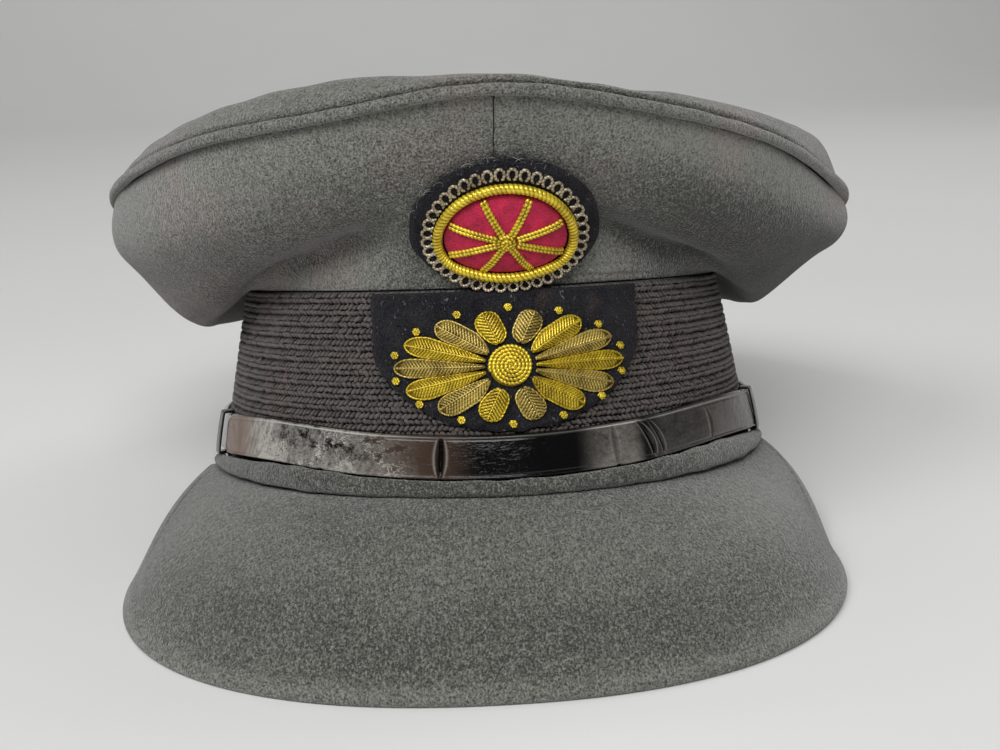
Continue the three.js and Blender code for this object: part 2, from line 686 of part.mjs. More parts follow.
// One stitched petal, pointing away from the rosette's boss: as wide as its share of the circle leaves
// room for at each distance from the boss, with rounded ends
function petalGeometry(turn) {
  const tip = new THREE.Vector2(...oval(ROSETTE_WIDTH, ROSETTE_HEIGHT)(turn));
  const neighbours = [-1, 1].map((side) => new THREE.Vector2(
    ...oval(ROSETTE_WIDTH, ROSETTE_HEIGHT)(turn + side * 2 * Math.PI / PETAL_COUNT),
  ));
  const halfAngle = Math.min(...neighbours.map((other) => tip.angleTo(other))) / 2;
  const start = BOSS_RADIUS + 2 * GAP;
  const middle = (start + tip.length()) / 2;
  const half = tip.length() - middle;
  const along = tip.clone().normalize();
  return badgePad({
    centre: { x: rosetteCentre.x + along.x * middle, z: rosetteCentre.z + along.y * middle },
    outline: (angle) => {
      const out = half * Math.cos(angle);
      const side = ((middle + out) * Math.tan(halfAngle) - GAP) * Math.sin(angle);
      return [along.x * out - along.y * side, along.y * out + along.x * side];
    },
    spokes: 10,
    rings: [0.6, 1],
    base: onFelt,
    crest: (share) => PETAL_RELIEF * (1 - 0.6 * share * share),
  });
}

function bossGeometry() {
  return badgePad({
    centre: rosetteCentre,
    outline: oval(2 * BOSS_RADIUS, 2 * BOSS_RADIUS),
    spokes: 16,
    rings: [0.45, 0.8, 1],
    base: onFelt,
    crest: (share) => BOSS_DOME * (1 - 0.75 * share * share),
  });
}

const finishes = {
  cloth: { color: 0x6a6963, roughness: 0.95, metalness: 0 },
  braid: { color: 0x2b2725, roughness: 0.85, metalness: 0 },
  patent: { color: 0x0b0a0a, roughness: 0.15, metalness: 0 },
  felt: { color: 0x1d1c22, roughness: 0.95, metalness: 0 },
  velvet: { color: 0xa1143e, roughness: 0.8, metalness: 0 },
  bullion: { color: 0x9c8442, roughness: 0.5, metalness: 0.6 },
  gilt: { color: 0xc9a227, roughness: 0.3, metalness: 0.9 },
};

const cap = new THREE.Group();

function add(name, geometry, finish, seat) {
  const mesh = new THREE.Mesh(geometry, new THREE.MeshStandardMaterial(finishes[finish]));
  mesh.name = name;
  if (seat) {
    mesh.position.copy(seat.foot);
    mesh.quaternion.copy(seat.turn);
  }
  cap.add(mesh);
  return mesh;
}

const strapTail = BUTTON_ANGLE + STRAP_TAIL_ANGLE;
const innerFreeEnd = STRAP_END_ANGLE + STRAP_TAIL_ANGLE;
const keeperAngle = (STRAP_END_ANGLE + innerFreeEnd) / 2;

const band = add('braid_band', bandGeometry(), 'braid');
const peak = add('peak', peakGeometry(), 'cloth');
add('side_crown_left', sideCrownGeometry(-1), 'cloth');
add('side_crown_right', sideCrownGeometry(1), 'cloth');
add('crown_welt', weltGeometry(), 'cloth');
add('crown_top', topGeometry(), 'cloth');
add('peak_piping', pipingGeometry(), 'cloth');
add('chin_strap_inner', strapGeometry(innerFreeEnd, -strapTail, 0), 'patent');
add('chin_strap_outer', strapGeometry(-STRAP_END_ANGLE, strapTail, 1), 'patent');
add('keeper_left', keeperGeometry(-innerFreeEnd, 0, 1), 'patent');
add('keeper_right', keeperGeometry(keeperAngle, 0, 1), 'patent');
add('button_left', buttonGeometry(0), 'gilt', buttonSeat(-BUTTON_ANGLE));
add('button_right', buttonGeometry(1), 'gilt', buttonSeat(BUTTON_ANGLE));
add('badge_felt_upper', upperFeltGeometry(), 'felt');
add('badge_felt_lower', lowerFeltGeometry(), 'felt');
add('cockade_velvet', velvetGeometry(), 'velvet');
add('cockade_cord', cockadeCordGeometry(), 'bullion');
add('cockade_knot', knotGeometry(), 'gilt');
steps(RIB_COUNT).slice(1).forEach((share, i) => {
  add(`cockade_rib_${i + 1}`, ribGeometry((share + 0.5 / RIB_COUNT) * 2 * Math.PI), 'bullion');
});
add('rosette_boss', bossGeometry(), 'gilt');
steps(PETAL_COUNT).slice(1).forEach((share, i) => {
  add(`rosette_petal_${i + 1}`, petalGeometry(share * 2 * Math.PI), 'bullion');
});

// The tilt at which the peak's lowest point and the rear rim's lowest point are level, by halving
function lowest(mesh, tilt) {
  const points = mesh.geometry.attributes.position;
  const heights = Array.from({ length: points.count }, (_, i) => (
    points.getZ(i) * Math.cos(tilt) - points.getY(i) * Math.sin(tilt)));
  return Math.min(...heights);
}

let [flat, steep] = [0, radians(30)];
for (let halving = 0; halving < 40; halving++) {
  const tilt = (flat + steep) / 2;
  [flat, steep] = lowest(peak, tilt) < lowest(band, tilt) ? [tilt, steep] : [flat, tilt];
}
cap.rotation.x = -flat;

const serviceDressCap = new THREE.Group();
serviceDressCap.add(cap);
serviceDressCap.updateMatrixWorld(true);
const box = new THREE.Box3().setFromObject(serviceDressCap, true);
const middle = box.getCenter(new THREE.Vector3());
cap.position.set(-middle.x, -middle.y, -box.min.z);
serviceDressCap.updateMatrixWorld(true);

export default serviceDressCap;
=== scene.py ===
"""Service dress cap in grey wool: the fine shapes and finishes of its cloth, braid, leather and badge.

Shapes are worked out in millimetres with the cap upright, the band's lower edge on z = 0, its axis on
x = y = 0 and the front towards -y. placed() tilts them to the resting cap and turns them to metres.
Angles run round the cap in degrees, 0 in front and 90 at +x.
"""
import json
import math

import bpy
import numpy as np
from mathutils import Matrix, Vector


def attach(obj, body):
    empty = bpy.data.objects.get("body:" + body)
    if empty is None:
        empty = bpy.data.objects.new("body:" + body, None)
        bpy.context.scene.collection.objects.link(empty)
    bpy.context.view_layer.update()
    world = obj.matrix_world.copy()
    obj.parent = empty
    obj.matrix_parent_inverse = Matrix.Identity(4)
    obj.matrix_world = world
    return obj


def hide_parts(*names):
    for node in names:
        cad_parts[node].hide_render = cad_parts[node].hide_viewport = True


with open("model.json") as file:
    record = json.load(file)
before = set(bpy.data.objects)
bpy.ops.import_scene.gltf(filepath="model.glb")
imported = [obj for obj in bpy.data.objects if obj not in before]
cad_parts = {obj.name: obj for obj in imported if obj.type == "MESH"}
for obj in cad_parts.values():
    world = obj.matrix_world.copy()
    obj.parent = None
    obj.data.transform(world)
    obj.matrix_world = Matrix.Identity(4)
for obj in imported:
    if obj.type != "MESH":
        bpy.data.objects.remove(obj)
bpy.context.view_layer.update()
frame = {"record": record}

# General
GAP = 0.3
CLOTH = 2.0

# Band
BAND_WIDTH = 169.6
BAND_LENGTH = 206.4
BAND_TOP_WIDTH = 151.0
BAND_TOP_LENGTH = 189.8
BAND_HEIGHT = 51.0
BAND_WALL = 3.0
RIB_DEPTH = 0.6

# Braid: ribs up the band, stitches along a rib, the size of one strand of a stitch, and how much its
# place, slant, size and tone differ from strand to strand
BRAID_RIBS = 16
BRAID_COLUMNS = 336
STRAND_LENGTH = 2.1
STRAND_WIDTH = 1.22
STRAND_DEPTH = 1.5
STRAND_SLANT = 41.0
STRAND_SINK = 0.35
RIB_ROUNDING = 0.45
SLANT_SPREAD = 11.0
ANGLE_SPREAD = 0.06
HEIGHT_SPREAD = 0.1
SIZE_SPREAD = 0.06
STRAND_TONE = 1.1
TONE_SPREAD = 0.2
BRAID_SEED = 51

# Crown
CROWN_WIDTH = 228.4
CROWN_FRONT_REACH = 122.0
CROWN_BACK_REACH = 126.0
CROWN_RISE = 47.3
CROWN_INSET = 1.0

# Welt: the room it takes, its cord in front and at the sides, how far it sits down and is drawn in, how
# uneven it is, and its painted light
WELT_RADIUS = 2.2
WELT_CORD = 1.5
WELT_CORD_LEFT = 1.6
WELT_CORD_RIGHT = 1.9
WELT_SINK = 0.5
WELT_DRAW = 0.4
WELT_UNEVEN = 0.06
WELT_TONE = 0.14
WELT_TONE_RIGHT = 0.2

# Top panel: its puff and bowl, the lip behind the welt, its relief and its painted light
TOP_PUFF = 9.0
TOP_MIDDLE_RISE = 27.0
BOWL_POWER = 0.65
BOWL_ROUNDING = 0.03
LIP_DROP = 2.4
LIP_INSET = 1.2
LIP_BELLY = 0.9
TOP_PUCKER = 0.35
TOP_WAVE = 0.5
TOP_EDGE = 2.0
TOP_EDGE_ANGLE = 86.0
TOP_TONE = 0.2

# Side crown's relief in millimetres, and its valley's place as a share of the way up. Left is towards
# -x and right towards +x.
SEAM_DEPTH = 0.55
SEAM_EDGE = 0.15
SEAM_WIDTH = 1.3
SEAM_ARC = 2.0
VALLEY_DEPTH = 6.0
VALLEY_CENTRE = -1.5
VALLEY_IN_FRONT = 0.35
VALLEY_AT_SIDES = 0.18
TURN_IN = 1.1
FULLNESS = 1.1
PRESS_DEPTH = 0.6
GATHER_DEPTH = 0.35
WAVE_DEPTH = 0.8
PUCKER_DEPTH = 0.12
SLACK_LEFT = 1.4
SLACK_RIGHT = 2.0
SIDE_PUSH = 1.9
SIDE_PUSH_ANGLE = 84.0
SIDE_PUSH_SPREAD = 24.0

# Side crown's painted light and shade: how much its colour is lightened or darkened all over and in each
# part
CROWN_TONE = -0.03
HIGH_TONE = 0.32
RIM_TONE = 0.2
LEDGE_TONE_LEFT = 0.32
LEDGE_TONE_RIGHT = 0.48
VALLEY_TONE = -0.24
SHADED_TONE = -0.42
WARM_TONE = 0.12

# Peak and roll
PEAK_WIDTH = 197.5
PEAK_REACH = 42.0
PEAK_DROP = 43.8
PEAK_THICKNESS = 3.0
PEAK_END_ANGLE = 77.0
PEAK_BULGE = 4.0
PEAK_SKEW = -4.5
PEAK_LOBE = 0.68
PEAK_FULLNESS = 2 / 2.25
PEAK_WAVE = 0.5
# Lightening of the peak's rolled edge: wear and painted rim light
PEAK_EDGE_WEAR_AND_LIGHT = 0.8
TUCK_DEPTH = 0.5
TUCK_INSET = 5.2
TUCK_WIDTH = 1.3
PIPING_RADIUS = 1.8
# How much darker the roll's colour is on the left, and how much lighter towards the right
PIPING_TONE = -0.9
PIPING_TONE_RIGHT = 1.3

# Chin strap
STRAP_WIDTH = 11.2
STRAP_THICKNESS = 1.0
STRAP_FRONT_HEIGHT = 7.8
STRAP_LIFT = 4.0
STRAP_END_ANGLE = 66.0
STRAP_TAIL_ANGLE = 5.0
STRAP_LINE_DEPTH = 0.24
STRAP_BEAD = 0.15
STRAP_EDGE_FALL = 0.42
STRAP_WAVE = 0.13
BUTTON_ANGLE = 106.0
KEEPER_WALL = 0.7
KEEPER_WIDTH = 6.0
BUTTON_RADIUS = 6.5
BUTTON_DOME = 3.2
SHANK_RADIUS = 1.5

# Badge, and the grid of the cap's front that it lies on
BADGE_SHIFT = 2.8
BADGE_GAP = 0.5
FIELD_LEFT = -46.0
FIELD_RIGHT = 52.0
FIELD_FOOT = 4.0
FIELD_TOP = 92.0
FIELD_STEP = 1.0
FELT = 1.5
COCKADE_WIDTH = 37.0
COCKADE_HEIGHT = 27.0
COCKADE_DOME = 3.4
CORD_RADIUS = 1.3
CORD_WINDS = 92
RIB_COUNT = 8
RIB_WIRE = 0.5
RIB_WIRE_ASIDE = 0.46
HUB_RADIUS = 2.6
HUB_DOME = 2.1
HUB_WIRE = 0.42
PURL_COUNT = 40
PURL_WIRE = 0.42
PURL_WIDTH = 2.3
PURL_HEIGHT = 2.7
ROSETTE_WIDTH = 58.0
ROSETTE_HEIGHT = 28.0
PETAL_COUNT = 14
PETAL_RELIEF = 1.6
PETAL_HALF_WIDTH = 3.1
PETAL_WIRE = 0.33
PETAL_WIRE_LEAN = 0.95
SPINE_WIRE = 0.3
EDGE_WIRE = 0.28
KNOT_RADIUS = 0.95
KNOT_WIRE = 0.3
BOSS_RADIUS = 5.8
BOSS_DOME = 3.0
BOSS_WIRE = 0.48
FELT_MARGIN = 6.0
THREAD_COUNT = 26
THREAD_RADIUS = 0.07

# Colours, and how much the painted light and wear mark lightens the cloth
LIGHT_AND_WEAR_LIFT = 0.2
CLOTH_DARK = (0.045, 0.045, 0.039)
CLOTH_LIGHT = (0.25, 0.252, 0.225)
CLOTH_WARM = (0.285, 0.235, 0.22)
PEAK_WARM = (0.232, 0.245, 0.215)
BRAID_DARK = (0.01, 0.0095, 0.0095)
BRAID_GREY = (0.117, 0.103, 0.095)
BRAID_BROWN = (0.128, 0.099, 0.09)
PATENT_BLACK = (0.004, 0.0035, 0.0035)
# The strap's brown and pale colours are painted reflection, the pale one over real scuffs, and its crease
# colour is painted shade in the slits.
PATENT_BROWN = (0.15, 0.092, 0.066)
PATENT_SCUFF_REFLECTION = (0.44, 0.42, 0.385)
PATENT_CREASE = (0.003, 0.0025, 0.0025)
FELT_DARK = (0.005, 0.0055, 0.009)
FELT_LIGHT = (0.04, 0.038, 0.042)
FELT_RUST = (0.07, 0.045, 0.035)
FELT_LINT = (0.16, 0.16, 0.165)
VELVET_DARK = (0.2, 0.003, 0.025)
VELVET_LIGHT = (0.74, 0.014, 0.085)
THREAD_DARK = (0.03, 0.03, 0.04)
THREAD_LIGHT = (0.3, 0.3, 0.28)
ANTIQUE_DARK = (0.13, 0.085, 0.018)
ANTIQUE_LIGHT = (0.84, 0.65, 0.17)
PALE_DARK = (0.16, 0.12, 0.075)
PALE_LIGHT = (0.8, 0.7, 0.52)
BRIGHT_DARK = (0.26, 0.16, 0.01)
BRIGHT_LIGHT = (1.0, 0.78, 0.06)
GILT_DARK = (0.62, 0.42, 0.12)
GILT_LIGHT = (0.9, 0.68, 0.26)
PAPER_DARK = (0.82, 0.82, 0.81)
PAPER_LIGHT = (0.86, 0.86, 0.85)

# The studio in metres: its floor, and each lamp's place, size, power in watts and point aimed at
FLOOR_NEAR = -1.6
FLOOR_FAR = 1.4
FLOOR_CURVE = 0.9
FLOOR_TOP = 3.0
FLOOR_HALF_WIDTH = 3.0
SKY_STRENGTH = 0.05
LAMPS = (
    ("key", (-0.95, -0.9, 1.2), (0.7, 0.7), 10, (0, 0, 0.06)),
    ("front", (-0.1, -1.2, 1.1), (0.9, 0.6), 15, (0, 0, 0.06)),
    ("rim", (0.9, 0.6, 1.1), (0.7, 0.7), 3, (0, 0, 0.06)),
    ("back", (0, 0.7, 1.9), (2.0, 0.5), 12, (0, 2.3, 0.5)),
)

# The photograph's camera, about the upright cap
VIEW_DISTANCE = 460.76
VIEW_AZIMUTH = -2.97
VIEW_ELEVATION = 5.53
VIEW_ROLL = -2.19
VIEW_TARGET_X = 5.25
VIEW_TARGET_Z = 19.0
FOCAL_PIXELS = 1387.84
FRAME_PIXELS = 1000
SENSOR = 36.0


def table(columns, *rows):
    """The named columns of a table that is given row by row."""
    return dict(zip(columns.split(), np.array(rows, float).T))


# Side crown by direction. Shares of the crown's rise, and degrees above level for leave and arrive. The
# puff is the top panel's, a share of TOP_PUFF.
CROWN = table(
    "at rise leave stand arrive belly sag puff",
    (-180, 0.27, 35, 0.28, 76, 0.5, 0.14, 0.5),
    (-140, 0.32, 35, 0.28, 76, 0.65, 0.24, 0.5),
    (-110, 0.42, 22, 0.28, 98, 0.6, 0.29, 0.6),
    (-85, 0.55, 20, 0.27, 109, 0.6, 0.29, 0.75),
    (-62, 0.7, 28, 0.26, 96, 0.72, 0.16, 1.0),
    (-42, 0.83, 55, 0.28, 82, 0.72, 0, 1.15),
    (-22, 0.9, 74, 0.36, 74, 0.5, 0, 1.22),
    (0, 1.0, 80, 0.42, 68, 0.42, 0, 0.46),
    (22, 0.885, 74, 0.36, 74, 0.5, 0, 0.6),
    (42, 0.735, 55, 0.28, 80, 0.7, 0, 1.0),
    (62, 0.53, 28, 0.26, 99, 0.56, 0.14, 1.75),
    (85, 0.38, 22, 0.27, 116, 0.45, 0.32, 2.5),
    (110, 0.31, 26, 0.28, 98, 0.45, 0.3, 1.4),
    (140, 0.28, 35, 0.28, 76, 0.55, 0.22, 0.6),
)

# Top panel from the middle out to the welt
TOP = table(
    "out roll",
    (0, 0), (0.35, 0.4), (0.65, 0.8), (0.82, 1.0), (0.91, 0.84), (0.97, 0.46), (1, 0),
)

# Dents in the top panel: direction, share of the way out, and how wide each is in degrees and in share
TOP_DENTS = table(
    "at out wide deep depth",
    (13, 0.9, 7, 0.16, 1.0),
    (-52, 0.7, 16, 0.22, 0.8),
    (150, 0.75, 24, 0.2, 1.6),
    (-128, 0.72, 22, 0.2, 1.5),
)

# The strap's rise above its height in front, share of STRAP_LIFT
STRAP = table(
    "at lift",
    (-180, 0), (-106, 0.05), (-78, 0.1), (-48, 0.65), (-22, 0.2),
    (0, 0), (22, 0.25), (50, 0.8), (78, 0.2), (106, 0.1),
)

# Creases across the outer strap: direction, lean in degrees over its width, width in degrees, depth
CREASES = table(
    "at lean wide depth",
    (-10.9, 0.3, 0.52, 1.0),
    (27.4, -3.4, 0.4, 0.8),
    (29.6, -3.4, 0.3, 0.7),
    (20.4, -0.5, 0.4, 0.3),
    (-34.0, 0.4, 0.3, 0.25),
    (44.0, -1.2, 0.4, 0.25),
)

rest = frame["record"]["mounts"][0]
TILT = math.atan2(-rest["axis"][1], -rest["axis"][2])
RIM_SEAT = (0.0, BAND_LENGTH / 2 - (RIB_DEPTH + BAND_WALL) / 2, 0.0)


def turned(points):
    """The same vectors once the cap is tilted forward on to its peak: a turn about x by the tilt."""
    points = np.asarray(points, float)
    x, y, z = points[..., 0], points[..., 1], points[..., 2]
    cos, sin = math.cos(TILT), math.sin(TILT)
    return np.stack([x, y * cos + z * sin, z * cos - y * sin], -1)


def placed(points):
    """Upright millimetres to the resting cap's metres: the turn, then the shift that seats the rim."""
    return (turned(points) - turned(RIM_SEAT)) / 1000 + np.array(rest["pos_m"])


def mix(start, end, share):
    """The value that lies a share of the way from start to end."""
    return start + (end - start) * share


def smooth_step(start, end, value):
    """0 before start, 1 after end, and the cubic 3s^2 - 2s^3 between them."""
    share = np.clip((value - start) / (end - start), 0, 1)
    return share * share * (3 - 2 * share)


def rise_and_fall(start, full, leave, end, value):
    """0 up to start, 1 from full to leave, and 0 again from end."""
    return smooth_step(start, full, value) * (1 - smooth_step(leave, end, value))


def bell(value, middle, wide):
    """The bell exp(-s^2), where s is the distance from its middle in widths."""
    return np.exp(-(((value - middle) / wide) ** 2))


def half_turns(angle):
    """The same directions, between -180 and 180 degrees."""
    return (angle + 180) % 360 - 180


def circle(count):
    """Angles evenly round a full turn, in radians from 0."""
    return np.linspace(0, 2 * np.pi, count + 1)[:-1]


def cap_round(count):
    """Directions evenly round the cap, in degrees from the back."""
    return np.linspace(-180, 180, count + 1)[:-1]


def rings_along(centre, side, up, radius, turn):
    """Rings about points, each in the plane of its two directions: the cosine along one of them and
    the sine along the other, times the radius."""
    rings = centre[..., None, :] + side[..., None, :] * (radius * np.cos(turn))[..., None]
    return rings + up[..., None, :] * (radius * np.sin(turn))[..., None]


def unit(vectors):
    """The vectors divided by their lengths."""
    return vectors / np.maximum(np.linalg.norm(vectors, axis=-1, keepdims=True), 1e-12)


def upward(vectors):
    """The vectors, with those that point down turned round."""
    return vectors * np.where(vectors[..., 2:] > 0, 1, -1)


def hermite(x0, x1, y0, y1, slope0, slope1, x):
    """Cubic from (x0, y0) to (x1, y1) with the given end slopes."""
    span = x1 - x0
    s = (x - x0) / span
    ends = y0 * (1 - 3 * s**2 + 2 * s**3) + y1 * (3 * s**2 - 2 * s**3)
    return ends + span * (slope0 * (s - 2 * s**2 + s**3) + slope1 * (s**3 - s**2))


def around(rows, column, angle):
    """Closed curve through a column of a table: a cubic between rows, with the slope at a row taken
    between its neighbours."""
    at, value = rows["at"], rows[column]
    count = len(at)
    angle = half_turns(np.asarray(angle, float))
    first = np.searchsorted(at, angle, side="right") - 1

    def knot(step):
        k = first + step
        return at[k % count] + 360 * (k // count), value[k % count]

    (ax, ay), (bx, by), (cx, cy), (dx, dy) = [knot(step) for step in (-1, 0, 1, 2)]
    return hermite(bx, cx, by, cy, (cy - ay) / (cx - ax), (dy - by) / (dx - bx), angle)


def through(rows, across, column, value):
    """Open curve through a column of a table, with slopes taken between neighbouring rows."""
    x, y = rows[across], rows[column]
    slope = np.gradient(y, x)
    k = np.clip(np.searchsorted(x, value, side="right") - 1, 0, len(x) - 2)
    return hermite(x[k], x[k + 1], y[k], y[k + 1], slope[k], slope[k + 1], value)


def ripple(seed, *axes, waves=7):
    """Soft random relief between about -1 and 1: a sum of sines whose directions, lengths and starts
    are drawn once from the seed. Each axis is given in wavelengths."""
    draw = np.random.default_rng(seed)
    total = 0
    for _ in range(waves):
        phase = draw.uniform(0, 2 * np.pi)
        for axis in axes:
            phase = phase + axis * draw.uniform(-1, 1) * 2 * np.pi
        total = total + np.sin(phase)
    return total / math.sqrt(waves)


def band_point(angle, height, off=0.0):
    """The band's outer face: an ellipse that narrows evenly upwards, moved out square to it in plan."""
    share = np.asarray(height, float) / BAND_HEIGHT
    half_width = mix(BAND_WIDTH, BAND_TOP_WIDTH, share) / 2
    half_length = mix(BAND_LENGTH, BAND_TOP_LENGTH, share) / 2
    turn = np.radians(angle)
    away_x, away_y = np.sin(turn) / half_width, -np.cos(turn) / half_length
    size = np.hypot(away_x, away_y)
    x = half_width * np.sin(turn) + off * away_x / size
    y = -half_length * np.cos(turn) + off * away_y / size
    return np.stack(np.broadcast_arrays(x, y, height), -1)


def rim_point(angle):
    """Plan of the rim, half an ellipse in front and half behind, at the table's height."""
    turn = np.radians(angle)
    reach = np.where(np.cos(turn) > 0, CROWN_FRONT_REACH, CROWN_BACK_REACH)
    height = BAND_HEIGHT + CROWN_RISE * around(CROWN, "rise", angle)
    return np.stack([CROWN_WIDTH / 2 * np.sin(turn), -reach * np.cos(turn), height], -1)


def crown_point(angle, t, depth=0.0):
    """The side crown from the band (t = 0) to the welt (t = 1): in the upright plane through the rim, a
    cubic curve with the table's two directions, less a sag, and then depth square into the cap."""
    angle, t = np.broadcast_arrays(np.asarray(angle, float), t)
    foot = band_point(angle, BAND_HEIGHT, -CROWN_INSET)
    rim = rim_point(angle)
    outward = rim[..., :2] - foot[..., :2]
    reach = np.linalg.norm(outward, axis=-1)
    outward = outward / reach[..., None]
    reach = reach - (WELT_RADIUS + GAP) / 3
    leave = np.radians(around(CROWN, "leave", angle))
    arrive = np.radians(around(CROWN, "arrive", angle))
    stand = CROWN_RISE * around(CROWN, "stand", angle)
    belly = CROWN_RISE * around(CROWN, "belly", angle)
    sag = CROWN_RISE * around(CROWN, "sag", angle)
    rise = rim[..., 2] - BAND_HEIGHT

    def place(s):
        b1, b2, b3 = 3 * s * (1 - s) ** 2, 3 * s * s * (1 - s), s**3
        out = b1 * stand * np.cos(leave) + b2 * (reach - belly * np.cos(arrive)) + b3 * reach
        up = (1 - s) ** 3 * GAP + b1 * (GAP + stand * np.sin(leave))
        up = up + b2 * (rise - belly * np.sin(arrive)) + b3 * rise
        return out, up - sag * s**3 * (1 - s) ** 7 * 10**10 / (3**3 * 7**7)

    out, up = place(t)
    ahead, behind = place(np.minimum(t + 0.01, 1)), place(np.maximum(t - 0.01, 0))
    run, climb = ahead[0] - behind[0], ahead[1] - behind[1]
    size = np.hypot(run, climb)
    out = out - depth * climb / size
    up = up + depth * run / size
    return np.concatenate([foot[..., :2] + outward * out[..., None], (BAND_HEIGHT + up)[..., None]], -1)


def welt_centre(angle):
    """The middle of the welt, which rests on the rim."""
    centre = rim_point(angle)
    centre[..., 2] += WELT_RADIUS + 0.8 * GAP
    return centre


def top_point(angle, share):
    """The top panel: a bowl between the middle's height and the welt's, the square of the share, plus a
    little that rounds its middle, to a power, and on it the puff times its roll."""
    angle, share = np.broadcast_arrays(np.asarray(angle, float), share)
    centre = welt_centre(angle)
    inset = 1 - WELT_RADIUS * 0.7 / np.hypot(centre[..., 0], centre[..., 1])
    edge = centre[..., 2] + WELT_RADIUS + GAP / 2
    roll = through(TOP, "out", "roll", share) * smooth_step(0, 0.5, share)
    puff = TOP_PUFF * around(CROWN, "puff", angle) * roll
    bowl = (share**2 + BOWL_ROUNDING) ** BOWL_POWER - BOWL_ROUNDING**BOWL_POWER
    bowl = bowl / ((1 + BOWL_ROUNDING) ** BOWL_POWER - BOWL_ROUNDING**BOWL_POWER)
    height = mix(BAND_HEIGHT + TOP_MIDDLE_RISE, edge, bowl) + puff
    return np.stack([centre[..., 0] * inset * share, centre[..., 1] * inset * share, height], -1)


def peak_seat(u):
    """Depth of the peak's wall under the band, more at its corners."""
    front = PEAK_THICKNESS / 2 + 3 * GAP
    corner = PEAK_THICKNESS / 2 + PIPING_RADIUS + 3 * GAP
    return mix(front, corner, smooth_step(0.1, 0.7, np.abs(u)))


def bezier(points, s):
    """Cubic Bezier curve: the four points weighed by the terms of (1 - s + s)^3."""
    weights = ((1 - s) ** 3, 3 * s * (1 - s) ** 2, 3 * s * s * (1 - s), s**3)
    return sum(weight[..., None] * np.array(point) for weight, point in zip(weights, points))


def peak_edge(u):
    """The peak's free edge: a superellipse in the resting plane from lobe to lobe, then a Bezier curve
    that climbs from each lobe to the band."""
    side = np.where(u < 0, -1.0, 1.0)
    share = np.abs(u)
    front_reach = BAND_LENGTH / 2 + PEAK_REACH
    slope = PEAK_DROP / (BAND_LENGTH / 2 + front_reach)
    lobe_x, lobe_y = PEAK_WIDTH / 2, -0.69 * BAND_LENGTH / 2

    def plane(y):
        return -(BAND_LENGTH / 2 - y) * slope + PEAK_THICKNESS / 2

    turn = np.minimum(share / PEAK_LOBE, 1) * np.pi / 2
    cos = np.maximum(np.cos(turn), 0)
    y = lobe_y - (front_reach + lobe_y) * cos**PEAK_FULLNESS
    low = np.stack([side * lobe_x * np.sin(turn) ** PEAK_FULLNESS + PEAK_SKEW, y, plane(y)], -1)
    corner = band_point(PEAK_END_ANGLE, -peak_seat(1.0), 2 * PIPING_RADIUS)
    back = (corner[1] - lobe_y) * 0.4
    rest_share = np.clip((share - PEAK_LOBE) / (1 - PEAK_LOBE), 0, 1)
    climb = bezier(
        [
            (lobe_x, lobe_y, plane(lobe_y)),
            (lobe_x, lobe_y + back, plane(lobe_y + back)),
            (mix(corner[0], lobe_x, 0.95), corner[1] - back, corner[2] - 0.5 * back),
            corner,
        ],
        rest_share,
    )
    climb[..., 0] = side * climb[..., 0] + PEAK_SKEW * (1 - rest_share)
    return np.where((share <= PEAK_LOBE)[..., None], low, climb)


def peak_point(u, v):
    """Middle of the peak's wall from the band (v = 0) to its edge (v = 1): the straight line between
    them, raised by a parabola."""
    u, v = np.broadcast_arrays(np.asarray(u, float), v)
    root = band_point(u * PEAK_END_ANGLE, -peak_seat(u), -BAND_WALL / 3)
    chord = peak_edge(u) - root
    sideways = band_point(u * PEAK_END_ANGLE + 1, 0.0) - band_point(u * PEAK_END_ANGLE - 1, 0.0)
    up = upward(unit(np.cross(sideways, chord)))
    share = np.clip(np.linalg.norm(chord, axis=-1) / PEAK_DROP, 0, 1)
    bulge = PEAK_BULGE * share * 4 * v * (1 - v)
    return root + chord * v[..., None] + up * bulge[..., None]


def square_to(point, a, b, step_a, step_b):
    """Unit direction square to a surface, from the differences between a point's neighbours."""
    along_a = point(a + step_a, b) - point(a - step_a, b)
    along_b = point(a, b + step_b) - point(a, b - step_b)
    return unit(np.cross(along_a, along_b))


def strap_height(angle):
    """Height of the strap's middle on the band."""
    return STRAP_FRONT_HEIGHT + STRAP_LIFT * around(STRAP, "lift", angle)


def near_keeper(angle):
    """How near an angle is to the keepers, from half way to them (0) to beside them (1)."""
    return smooth_step(0.5 * STRAP_END_ANGLE, 0.95 * STRAP_END_ANGLE, np.abs(angle))


def strap_off(angle, layer):
    """Distance of a strap layer off the band, more near the keepers."""
    return GAP + (KEEPER_WALL + GAP) * near_keeper(angle) + layer * (STRAP_THICKNESS + GAP)


def add_object(name, data):
    """Puts a new object into the scene."""
    made = bpy.data.objects.new(name, data)
    bpy.context.scene.collection.objects.link(made)
    return made


